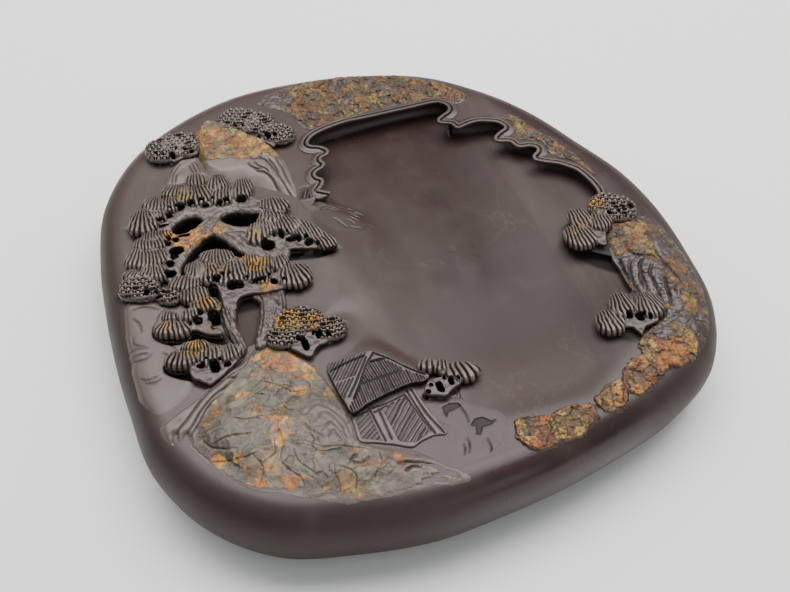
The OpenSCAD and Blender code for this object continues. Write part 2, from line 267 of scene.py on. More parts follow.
def make_mesh(name, V, quads=None, tris=None, loops=None):
    """V in millimetres. Polygons from quads, tris and a list of longer loops."""
    me = bpy.data.meshes.new(name)
    V = np.asarray(V, np.float64) * 0.001
    me.vertices.add(len(V))
    me.vertices.foreach_set("co", V.astype(np.float32).ravel())
    idx = []
    tot = []
    if tris is not None and len(tris):
        idx.append(np.asarray(tris, np.int32).ravel())
        tot.append(np.full(len(tris), 3, np.int32))
    if quads is not None and len(quads):
        idx.append(np.asarray(quads, np.int32).ravel())
        tot.append(np.full(len(quads), 4, np.int32))
    for lp in (loops or []):
        idx.append(np.asarray(lp, np.int32))
        tot.append(np.array([len(lp)], np.int32))
    idx = np.concatenate(idx)
    tot = np.concatenate(tot)
    start = np.concatenate([[0], np.cumsum(tot)[:-1]]).astype(np.int32)
    me.loops.add(len(idx))
    me.loops.foreach_set("vertex_index", idx)
    me.polygons.add(len(tot))
    me.polygons.foreach_set("loop_start", start)
    me.polygons.foreach_set("loop_total", tot)
    me.update(calc_edges=True)
    me.validate()
    me.polygons.foreach_set("use_smooth", np.ones(len(me.polygons), bool))
    ob = bpy.data.objects.new(name, me)
    bpy.context.scene.collection.objects.link(ob)
    return ob


def cavity(me, V, rounds=8, scale=0.35):
    """How far each point lies in a hollow, 0 to 1, from smoothing the mesh."""
    ne = len(me.edges)
    e = np.empty(ne * 2, np.int32)
    me.edges.foreach_get("vertices", e)
    e = e.reshape(-1, 2)
    n = len(V)
    deg = np.bincount(e.ravel(), minlength=n).astype(float)
    P = V.copy()
    for _ in range(rounds):
        Q = np.empty_like(P)
        for k in range(3):
            Q[:, k] = np.bincount(e[:, 0], P[e[:, 1], k], n) + np.bincount(e[:, 1], P[e[:, 0], k], n)
        P = 0.5 * P + 0.5 * Q / np.maximum(deg, 1)[:, None]
    nrm = np.empty(n * 3, np.float32)
    me.vertices.foreach_get("normal", nrm)
    nrm = nrm.reshape(-1, 3)
    c = np.einsum("ij,ij->i", P - V, nrm)
    return np.clip(c / scale, -1, 1)


def set_attr(me, name, values):
    at = me.attributes.get(name) or me.attributes.new(name, "FLOAT", "POINT")
    at.data.foreach_set("value", np.asarray(values, np.float32))


def paint(ob, crust=None, tone=None, cav_scale=0.35, rounds=8):
    """Stores per point: crust and tone, painted shade in the hollows and painted highlight with wear on the ridges,
    both from the cavity.
    """
    me = ob.data
    n = len(me.vertices)
    V = np.empty(n * 3, np.float32)
    me.vertices.foreach_get("co", V)
    V = V.reshape(-1, 3).astype(np.float64) * 1000.0
    c = cavity(me, V, rounds, cav_scale)
    set_attr(me, "hollow_shade", np.clip(c, 0, 1))
    set_attr(me, "edge", np.clip(-c, 0, 1))
    x, y, z = V.T
    set_attr(me, "crust", crust(x, y, z) if crust is not None else np.zeros(n))
    set_attr(me, "tone", tone(x, y, z) if tone is not None else np.full(n, 0.5))
    set_attr(me, "rust", np.zeros(n))
    set_attr(me, "matte", np.zeros(n))


def finish_piece(ob, mat, nodes):
    ob.data.materials.append(mat)
    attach(ob, "root")
    if nodes:
        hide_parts(*nodes)
    ROOT_PIECES.append(ob)
    return ob


class Box:
    """A block of sculpting cells, in millimetres."""

    def __init__(s, x0, x1, y0, y1, z0, z1, h=None):
        h = h or VOX
        s.h = h
        s.o = np.array([x0, y0, z0], float)
        nx, ny, nz = int((x1 - x0) / h) + 2, int((y1 - y0) / h) + 2, int((z1 - z0) / h) + 2
        s.n = (nx, ny, nz)
        s.x = x0 + h * np.arange(nx)
        s.y = y0 + h * np.arange(ny)
        s.z = z0 + h * np.arange(nz)
        s.X, s.Y = np.meshgrid(s.x, s.y, indexing="ij")
        s.Z = s.z[None, None, :]
        s.F = np.full(s.n, 9.0, np.float32)
        s.top = np.full(s.X.shape, -99.0)
        s.gro = np.zeros(s.X.shape)
        s.cre = np.zeros(s.X.shape)

    def add(s, F):
        s.F = np.minimum(s.F, F.astype(np.float32))

    def cut(s, F):
        """Takes away where F is negative."""
        s.F = np.maximum(s.F, -F.astype(np.float32))

    def mesh(s, name, adapt=0.02):
        F = np.clip(s.F, -2 * s.h, 2 * s.h)
        for ax in range(3):
            sl = [slice(None)] * 3
            for e in (0, -1):
                sl[ax] = e
                F[tuple(sl)] = 2 * s.h
        g = vdb.FloatGrid(background=float(2 * s.h))
        g.copyFromArray(F)
        pts, tris, quads = g.convertToPolygons(0.0, adapt)
        V = pts.astype(np.float64) * s.h + s.o
        return make_mesh(name, V, quads if len(quads) else None, tris if len(tris) else None)


def from_map(b, A, x, y):
    """Reads a map of the block at loose points, between its cells."""
    fx = np.clip((x - b.o[0]) / b.h, 0, b.n[0] - 1.001)
    fy = np.clip((y - b.o[1]) / b.h, 0, b.n[1] - 1.001)
    i, j = fx.astype(int), fy.astype(int)
    u, v = fx - i, fy - j
    return A[i, j] * (1 - u) * (1 - v) + A[i + 1, j] * u * (1 - v) + A[i, j + 1] * (1 - u) * v + A[i + 1, j + 1] * u * v


def points(ob):
    n = len(ob.data.vertices)
    V = np.empty(n * 3, np.float32)
    ob.data.vertices.foreach_get("co", V)
    return V.reshape(-1, 3).astype(np.float64) * 1000.0


def get_attr(ob, name):
    c = np.empty(len(ob.data.vertices), np.float32)
    ob.data.attributes[name].data.foreach_get("value", c)
    return c


def engrave(ob, b, G, lo=0.15, hi=0.6, amount=0.9):
    """Painted shade in the engraved strokes, with the painted highlight taken out of them; G is their depth."""
    x, y, z = points(ob).T
    g = amount * sstep(lo, hi, from_map(b, G, x, y))
    set_attr(ob.data, "hollow_shade", np.maximum(get_attr(ob, "hollow_shade"), g))
    set_attr(ob.data, "edge", get_attr(ob, "edge") * (1 - g))


# broken notches and engraved strokes on the near bank
NOTCH_RAW = (
    [(-14.0, -103.5), (-10.9, -102.5), (-6.8, -103.4), (-6.1, -105.3), (-9.7, -106.2), (-12.5, -106.6), (-14.2, -109.2), (-14.6, -107.3)],
    [(-6.4, -116.0), (-3.3, -113.5), (0.3, -114.1), (2.7, -116.8), (5.2, -117.0), (1.7, -118.9), (-2.0, -118.6), (-3.9, -121.8), (-6.1, -121.4), (-4.6, -117.3)])
NEAR_LINES = [[(-12.8, -123.8), (-13.0, -126.3), (-14.5, -129.1)], [(-10.1, -121.3), (-10.5, -125.0), (-12.4, -129.0)], [(-2.3, -124.1), (-2.5, -129.2), (-4.0, -132.1)],
              [(-7.0, -104.0), (-6.0, -109.0), (-6.2, -114.5)]]


def mist_rise(x, y):
    """The bank runs out into the pool as a long slope: its height over the floor."""
    a = math.radians(-14)
    al = (x + 36) * math.cos(a) + (y - 26) * math.sin(a) + 1.2 * fbm(x / 14, y / 14, 101, 2)
    up = 39.95 - 0.165 * al - floor_z(x, y)
    U = smooth_open([(-23, 60), (-18.5, 52.7), (-15.2, 45.1), (-11.7, 39.1), (-7.8, 34.8), (-3.2, 28.0), (0, 19.0), (2, 5.0), (2, -30)], 5)
    du, _, su = line_dist(U, x, y)
    g = sstep(-1.5, 11.0, du * su * -1) * sstep(-48, -26, y)
    return np.log1p(np.exp(np.clip(up, -20, 20))) * g


NEAR_EDGE = np.array([(-37, 10), (-46, 5), (-50, -4), (-52, -12), (-59, -18), (-61, -30), (-54, -36), (-47, -44), (-46, -55), (-50, -65), (-42, -67), (-32, -67), (-24, -75), (-15, -85),
                      (-6, -88), (-2, -93), (-4, -98), (-8, -102), (-6, -112), (-2, -118), (8, -120), (22, -121), (36, -122), (50, -121), (61, -115), (70, -109), (80, -103)], float)


def slab_ground(x, y):
    """Height of the pool and its soft near and left sides; no soft side beneath the lip or the right rock."""
    d = -sd(POOL_S, x, y)
    dn = line_dist(NEAR_EDGE, x, y)[0]
    L = mix(9.0, 5.0, sstep(60, 84, x))
    steep = np.maximum(sstep(11, 7, line_dist(LIP_LINE, x, y)[0]), sstep(38, 33, np.hypot(x - 110, y + 52)) * (x > 70))
    top = slab_top(x, y)
    fz = floor_z(x, y)
    fz = fz + 0.55 * (top - fz) * sstep(14, -55, x) * sstep(45, -10, y)
    fz = np.minimum(fz + 1.6 * sstep(-45, -122, y) * sstep(-60, -10, x), top)
    a = (top - fz) * (1 - sstep(0, 1, np.clip(d / L, 0, 1))) * (1 - steep)
    a = np.maximum(a, (top - fz) * (1 - sstep(0, 1, np.clip(dn / mix(24.0, 7.0, sstep(-45, -10, x)), 0, 1))))
    b = np.minimum(mist_rise(x, y), top - fz)
    h = np.clip(0.8 - np.abs(a - b), 0, None) / 0.8
    z = np.minimum(fz + np.maximum(a, b) + 0.2 * h * h, top)
    return np.where(d > 0, z, top)


def pool_tone_and_sheen(x, y):
    """Floor tone with a painted sheen: darkest at its deep end, lighter towards the near end and greyest at the left,
    darker at the near middle and right, with random variation.
    """
    t = mix(0.18, 0.36, sstep(80, -90, y))
    t = mix(t, 0.60, sstep(30, -35, x) * sstep(75, 30, y))
    t = mix(t, 0.46, sstep(-76, -114, y) * sstep(50, -5, x)) - 0.20 * sstep(-30, -90, y) * sstep(-10, 40, x)
    return t + 0.12 * fbm(x / 26, y / 60, 301, 4) + 0.05 * fbm(x / 7, y / 24, 303, 3)


def slab_top(x, y):
    ins = -sd(LINE, x, y)
    return rim_z(ins) + bank_z(x, y) * sstep(8, 20, ins)


def relief(b, H, M, zb):
    """A solid under the surface H, inside the mask M (negative inside), above zb."""
    gx, gy = np.gradient(H, b.h)
    k = 1.0 / np.sqrt(1 + gx * gx + gy * gy)
    F = (b.Z - H[:, :, None]) * k[:, :, None]
    F = np.maximum(F, M[:, :, None])
    zb2 = zb if np.isscalar(zb) else zb[:, :, None]
    return np.maximum(F, zb2 - b.Z)


# =====================================================================
# Where the natural crust is left on the carved parts: x, y, radius, strength
# =====================================================================
BLOBS = [(-88, 62, 9, .55), (-97, 60, 7, .3), (-77, 68, 6, .35), (-112, 49, 6, .2), (-90, 33, 9, .9), (-97, 27, 6, .8), (-76, 34, 6, .75),
         (-101, 37, 4, .7), (-62, 22, 4.5, .95), (-85, 7, 9, .5), (-66, 2, 8, .7), (-71, 8, 5, .5), (-66, -13, 5, .9), (-57, -12, 5, .2),
         (-96, -14, 7, .6), (-92, -17, 4, .8), (-114, -22, 3.2, 1.0), (-104, -37, 7, 1.0), (-110, -42, 5, .7), (-98, -31, 6, .35),
         (-63, -38, 9, .9), (-52, -41, 8, .6), (-46, -46, 6, .45), (-112, 21, 6, .25),
         (103, -15, 8, .55), (92, -25, 6, .4), (84, -28, 4, .5), (84, -83, 5, .15), (-50, 48, 4, .1)]


def blob_crust(x, y, z):
    s = np.zeros_like(x)
    n = 0.5 * fbm(x / 5.0, y / 5.0, 3, 3)
    for bx, by, r, a in BLOBS:
        d = np.hypot(x - bx, y - by) / r
        s = np.maximum(s, a * sstep(1.15, 0.35, d + 0.5 * n))
    return s


# =====================================================================
# Pines
# =====================================================================
# crown: kind, x, y, half width, half height, turn, lean of the needles, spread of the fan (degrees), step
PADS = {
    "top_crown": [("R", -80.2, 72.0, 5.4, 5.4, -20, 7, 40, 1.9), ("R", -70.5, 66.2, 5.4, 6.9, -20, 13, 50, 1.9), ("R", -59.6, 57.7, 5.4, 8.1, -20, 11, 40, 1.9),
                  ("R", -69.9, 57.0, 5.9, 8.0, -20, 5, 25, 2.0)],
    "upper_left_crown": [("R", -91.6, 67.1, 6.9, 5.3, -5, -16, 40, 1.8), ("R", -83.4, 61.4, 8.5, 7.9, -24, 15, 60, 2.1), ("R", -104.6, 61.6, 4.6, 5.8, -2, -24, 40, 1.8),
                         ("R", -96.3, 58.2, 5.8, 5.7, -12, 3, 25, 1.9), ("R", -110.9, 50.5, 7.4, 8.8, -20, 13, 60, 2.2), ("R", -103.2, 52.0, 4.3, 4.9, -13, 8, 25, 1.9)],
    "left_crown": [("R", -107.1, 38.2, 6.9, 4.3, -8, 5, 30, 1.7), ("R", -111.2, 33.9, 7.7, 5.4, -16, 8, 40, 1.8), ("R", -114.8, 25.2, 9.4, 7.2, -14, 3, 60, 1.9),
                   ("R", -113.2, 14.4, 6.8, 5.3, -31, 21, 60, 1.8)],
    "left_scaled_crown": [("S", -121.8, 6.5, 9.3, 7.7, -20, 9, 60, 2.75), ("R", -123.5, 16.1, 4.5, 4.1, 29, -68, 30, 1.8), ("S", -110.2, -3.1, 5.8, 4.4, -43, 34, 30, 2.75)],
    "centre_crown": [("R", -83.4, 14.0, 7.7, 5.5, -20, 6, 60, 1.8), ("R", -94.9, 8.5, 4.9, 6.2, -6, -11, 25, 1.8), ("R", -88.6, 4.8, 6.3, 6.8, -27, 19, 35, 2.1),
                     ("R", -78.9, 1.3, 6.9, 8.9, -27, 15, 50, 2.3), ("R", -68.1, 6.7, 4.5, 4.2, -20, 9, 25, 1.7), ("R", -62.3, 3.2, 4.5, 4.6, -20, 5, 30, 1.8),
                     ("R", -55.7, 0.4, 3.9, 5.4, -27, 24, 40, 1.9)],
    "centre_front_crown": [("R", -67.8, -3.6, 6.5, 6.0, -27, 15, 30, 2.1), ("R", -101.1, 2.1, 7.2, 5.3, -13, -5, 40, 1.9)],
    "right_low_crown": [("R", -51.9, -9.8, 7.9, 7.4, -13, 12, 60, 2.3)],
    "lower_left_crown": [("R", -98.6, -6.5, 7.1, 5.4, -9, 2, 25, 2.0), ("R", -96.1, -14.5, 7.0, 4.8, -3, 6, 30, 2.1), ("R", -103.0, -18.1, 4.3, 4.7, -20, 13, 30, 2.0),
                         ("P", -99.8, -25.6, 7.4, 6.0, -35, 22, 0, 2), ("R", -112.3, -15.9, 3.8, 4.1, -27, 11, 40, 1.8), ("R", -112.6, -23.9, 8.3, 5.1, -20, 11, 85, 2.5)],
    "lowest_crown": [("R", -105.5, -36.9, 6.5, 3.7, -9, -4, 70, 1.5), ("R", -113.0, -42.4, 7.1, 5.2, -16, 1, 65, 2.1), ("P", -101.6, -52.7, 7.9, 5.9, -26, 13, 0, 2),
                     ("R", -99.2, -45.4, 7.1, 6.1, -4, -3, 35, 2.2), ("R", -91.7, -46.0, 4.9, 5.2, 19, -20, 25, 1.9)],
    "upper_right_crown": [("R", -47.4, 40.7, 7.5, 5.3, -34, 31, 55, 2.0), ("R", -51.1, 33.0, 6.0, 5.9, -47, 35, 50, 2.1)],
    "reaching_crown": [("P", -41.0, 8.2, 12.0, 5.2, -17, 0, 0, 2), ("R", -31.0, 8.6, 8.6, 5.2, -54, 62, 16, 1.8), ("R", -37.6, 17.8, 8.2, 5.6, -54, 58, 18, 1.8),
                       ("R", -46.4, 25.6, 7.0, 5.6, -46, 50, 24, 1.9), ("R", -56.0, 27.0, 5.0, 6.2, -30, 20, 30, 1.9)],
    "branch_knot": [("K", -60.9, 22.9, 5.6, 7.4, -20, 8, 45, 3.2)],
    "boulder_pine": [("P", -56.6, -51.2, 6.7, 10.0, -20, 3, 0, 2), ("S", -65.8, -44.3, 9.6, 6.8, 4, -24, 20, 2.75), ("S", -56.6, -38.1, 10.7, 8.2, -24, 7, 30, 2.75),
                     ("S", -46.1, -47.4, 8.1, 7.1, -4, -6, 30, 2.75)],
    "hut_pine": [("P", -11.5, -95.1, 6.4, 5.0, -20, -2, 0, 2), ("R", -12.9, -81.8, 4.7, 4.2, -30, 9, 30, 3.2), ("R", -7.4, -84.6, 3.7, 4.5, -39, 25, 30, 2.4),
                 ("R", -0.5, -90.3, 8.7, 5.8, -17, 18, 55, 3.6)],
    "right_pine_upper": [("P", 94.7, -33.6, 7.6, 9.1, -27, 0, 0, 2), ("S", 111.1, -18.8, 11.2, 8.4, -38, 17, 30, 2.75), ("R", 101.1, -25.7, 5.6, 7.5, -42, 33, 25, 1.8),
                         ("R", 91.9, -20.7, 5.5, 7.3, -6, 0, 30, 2.2), ("R", 86.5, -32.2, 7.7, 7.9, -3, -2, 40, 2.2)],
    "right_pine_lower": [("P", 84.0, -89.3, 8.2, 7.4, -34, 5, 0, 2), ("R", 83.6, -79.8, 5.6, 7.5, -20, 11, 40, 2.1), ("R", 95.3, -84.1, 6.4, 7.6, -27, 20, 60, 2.0),
                         ("R", 74.3, -87.1, 6.4, 7.0, -27, 21, 40, 2.3)],
    "far_left_pine": [("P", -81.0, 95.8, 7.4, 5.2, -7, -5, 0, 2), ("S", -89.7, 102.2, 10.8, 9.5, 4, -16, 30, 2.75), ("S", -81.5, 103.1, 10.6, 9.9, -20, 11, 30, 2.75)],
    "peak_pine": [("P", -35.4, 91.3, 6.3, 5.5, -35, 20, 0, 2), ("S", -47.0, 112.7, 12.0, 10.3, -25, 7, 30, 2.75), ("S", -37.7, 105.8, 8.5, 9.7, -35, 23, 20, 2.75),
                  ("S", -30.3, 94.6, 9.5, 7.8, -28, 18, 30, 2.75)],
}

DRILLED = [(-86.6, -0.5, 2.1, 2.1), (-83.3, 1.2, 0.9, 1.3), (-80.3, 0.7, 0.9, 1.1), (-72.8, -4.5, 1.0, 1.1), (-69.8, -8.1, 2.2, 1.2), (-66.4, -7.9, 1.8, 1.4), (-62.9, -6.5, 0.9, 1.1),
           (-61.9, -10.6, 1.7, 2.1), (-57.1, -11.8, 0.9, 1.1), (-80.6, -6.9, 2.6, 2.5), (-77.6, -7.6, 2.2, 1.9), (-89.8, -6.2, 2.3, 4.2), (-90.4, 0.7, 0.9, 1.0),
           (-98.7, 51.1, 1.9, 1.6), (-92.1, 55.1, 2.5, 1.9), (-86.4, 55.4, 2.0, 1.7), (-79.8, 52.0, 1.7, 1.2), (-81.0, 55.7, 1.7, 1.3), (-75.4, 55.0, 1.1, 1.3),
           (-72.5, 50.8, 1.7, 1.5), (-69.2, 51.4, 1.7, 1.7), (-61.7, 50.2, 2.5, 1.9), (-97.2, 55.0, 1.0, 0.8), (-103.3, 48.6, 2.2, 1.2), (-102.6, 45.1, 2.2, 0.9),
           (-94.6, 34.9, 3.0, 1.2), (-99.1, 33.3, 1.6, 1.6), (-102.3, 34.7, 1.1, 1.0), (-103.2, 31.7, 1.6, 1.4), (-100.2, 25.5, 3.5, 2.9), (-105.0, 18.0, 1.9, 2.2),
           (-106.3, 11.2, 2.8, 2.2), 
           
           (-93.3, -21.4, 2.6, 3.0), (-100.8, -22.7, 2.1, 2.3), (-104.4, -23.6, 0.8, 1.1), (-98.7, -18.4, 1.1, 1.4), (-95.2, -29.1, 1.3, 1.3),
           (-59.2, -52.5, 1.6, 4.2), (-51.8, -49.4, 1.6, 2.1), (-61.3, -49.0, 1.0, 1.3), (-53.9, -47.5, 0.8, 1.1), (-47.9, -50.8, 1.3, 1.7),
           (-105.4, -48.9, 1.9, 1.5), (-99.9, -51.5, 2.2, 3.6), (-94.4, -52.1, 1.6, 1.4), (-102.7, -46.3, 0.9, 0.9), (-96.8, -49.0, 0.9, 1.0),
           (-53.2, 20.2, 0.9, 1.2), (-49.9, 19.3, 1.2, 2.5), (-46.0, 14.3, 2.7, 2.2), (-46.8, 19.4, 0.7, 1.1), (-42.6, 13.1, 1.2, 2.0), (-39.0, 12.5, 0.8, 1.2),
           (-38.9, 8.7, 2.1, 1.9), (-35.1, 6.2, 1.0, 1.3), (-57.8, 14.5, 3.3, 3.4),
           (-6.3, -94.1, 1.3, 2.0), (-3.1, -93.8, 0.8, 1.0), (-8.5, -91.4, 0.8, 1.1), (-12.0, -95.4, 1.5, 3.2), (-17.7, -95.8, 1.3, 1.1), (-15.2, -92.8, 0.8, 0.9),
           (-119.0, 1.6, 1.3, 2.6), (-114.8, 1.2, 0.9, 1.4), (-112.1, -0.6, 0.9, 1.1), (-114.9, -2.6, 1.5, 1.3), (-102.1, 22.3, 1.8, 1.9),
           (83.8, -86.4, 1.6, 1.8), (88.0, -88.9, 1.9, 2.4), (92.2, -90.4, 1.1, 1.6), (90.7, -87.8, 0.8, 1.0), (111.7, -22.3, 0.9, 2.5), (115.1, -21.9, 0.8, 2.2),
           (107.0, -22.8, 1.1, 1.6), (119.0, -22.2, 1.3, 2.0), (-87.3, 94.9, 1.6, 2.3), (-80.3, 97.8, 1.2, 1.6), (-77.2, 95.4, 1.0, 1.3), (-84.1, 99.2, 0.8, 1.0),
           (-92.1, 97.2, 1.0, 1.3), (-95.0, 99.3, 1.0, 1.3), (-49.9, 108.3, 1.0, 1.4), (-46.7, 107.5, 1.4, 1.6), (-37.4, 96.7, 1.0, 1.3), (-35.8, 93.8, 1.5, 2.9),
           (-32.0, 93.6, 1.0, 1.8), (-40.5, 95.5, 1.2, 1.3)]


def drilled(X, Y):
    """Distance to the nearest drilled hole, negative inside one."""
    d = np.full(X.shape, 9.0)
    x0, x1, y0, y1 = X.min() - 4, X.max() + 4, Y.min() - 4, Y.max() + 4
    wob = 0.22 * vnoise(X / 1.3, Y / 1.3, 17)
    for hx, hy, rx, ry in DRILLED:
        if x0 < hx < x1 and y0 < hy < y1:
            e = (((np.abs(X - hx) / rx) ** 2.4 + (np.abs(Y - hy) / ry) ** 2.4) ** (1 / 2.4) - 1) * min(rx, ry)
            d = np.minimum(d, e)
    return d + wob


# the plain underside round each stem, with its drilled holes
BELLY = {
    "centre_crown": [[(-93.1, 0.5), (-90.0, 1.5), (-86.1, 2.2), (-81.7, 2.2), (-79.1, -2.5), (-76.6, -5.5), (-73.4, -3.5), (-70.6, -6.7), (-65.3, -6.5), (-62.9, -4.6), (-58.0, -5.9), (-55.7, -12.1), (-52.9, -14.2), (-55.2, -15.7), (-59.7, -16.2), (-64.8, -15.9), (-67.7, -15.6), (-72.5, -14.4), (-76.2, -14.3), (-78.6, -14.7), (-81.5, -17.6), (-82.7, -21.5), (-87.3, -21.9), (-87.7, -14.0), (-87.3, -9.0), (-88.0, -4.0), (-90.9, -2.4)]],
    "lower_left_crown": [[(-106.2, -24.2), (-104.5, -21.6), (-102.4, -19.6), (-99.6, -18.7), (-95.5, -18.4), (-92.5, -16.7), (-89.1, -15.1), (-88.7, -17.6), (-91.5, -20.8), (-94.9, -21.4), (-96.3, -22.7), (-95.4, -24.9), (-95.1, -27.7), (-92.2, -32.0), (-93.0, -33.9), (-96.3, -32.7), (-98.7, -31.7), (-101.9, -28.5), (-104.7, -26.8)]],
    "lowest_crown": [[(-110.8, -49.3), (-109.2, -46.5), (-105.9, -46.0), (-101.8, -44.9), (-97.1, -46.6), (-92.8, -49.9), (-88.3, -47.6), (-88.3, -49.8), (-91.6, -52.9), (-95.1, -55.4), (-99.3, -58.1), (-104.2, -60.3), (-105.2, -59.3), (-107.7, -56.7), (-110.3, -54.1)]],
    "boulder_pine": [[(-65.9, -52.3), (-62.6, -49.0), (-59.7, -46.1), (-56.4, -45.9), (-51.7, -45.8), (-47.9, -46.7), (-45.1, -50.5), (-45.3, -53.1), (-49.7, -54.6), (-53.2, -55.1), (-55.7, -56.8), (-58.7, -60.1), (-61.4, -58.3), (-63.3, -55.8), (-65.0, -53.9)]],
    "hut_pine": [[(-19.4, -95.2), (-17.8, -92.5), (-15.8, -90.3), (-13.2, -89.7), (-9.9, -90.0), (-6.1, -90.4), (-2.8, -91.6), (-0.6, -93.8), (-1.2, -95.3), (-3.8, -97.0), (-6.5, -98.0), (-8.7, -99.1), (-9.6, -100.0), (-11.7, -100.4), (-14.3, -99.2), (-17.5, -97.8), (-19.0, -96.8)]],
    "far_left_pine": [[(-88.8, 94.5), (-86.2, 99.0), (-82.2, 100.3), (-77.0, 99.5), (-74.1, 96.2), (-74.0, 93.4), (-77.2, 92.9), (-81.8, 93.0), (-85.5, 91.1), (-87.9, 90.9)]],
    "peak_pine": [[(-42.3, 96.9), (-39.3, 97.5), (-35.3, 99.4), (-31.5, 98.1), (-30.0, 93.5), (-32.1, 88.7), (-35.1, 85.3), (-36.5, 87.5), (-40.6, 92.9)],
        [(-51.8, 109.4), (-48.2, 111.0), (-44.6, 109.1), (-43.8, 104.2), (-45.7, 102.1), (-49.0, 105.5)]],
    "reaching_crown": [[(-55.3, 5.8), (-53.0, 8.6), (-49.7, 13.2), (-46.9, 15.9), (-40.8, 15.9), (-36.8, 12.2), (-32.9, 8.6), (-28.5, 6.3), (-26.5, 4.8), (-27.7, 1.7), (-32.6, 3.0), (-38.2, 4.5), (-43.6, 6.6), (-48.7, 7.7), (-51.8, 7.4), (-53.9, 5.3)]],
    "right_pine_upper": [[(88.5, -36.1), (90.9, -32.2), (96.3, -27.7), (101.0, -26.2), (106.5, -24.8), (108.0, -26.5), (103.6, -30.4), (100.0, -33.4), (97.2, -38.8), (96.1, -41.5), (93.2, -40.5), (91.9, -37.9)]],
    "right_pine_lower": [[(77.7, -90.6), (81.4, -86.5), (86.1, -84.5), (90.0, -85.4), (94.2, -88.4), (96.0, -91.8), (94.1, -93.9), (88.6, -94.6), (86.1, -96.4), (84.0, -98.8), (83.3, -96.3), (82.1, -93.2), (79.9, -91.9)]],
}


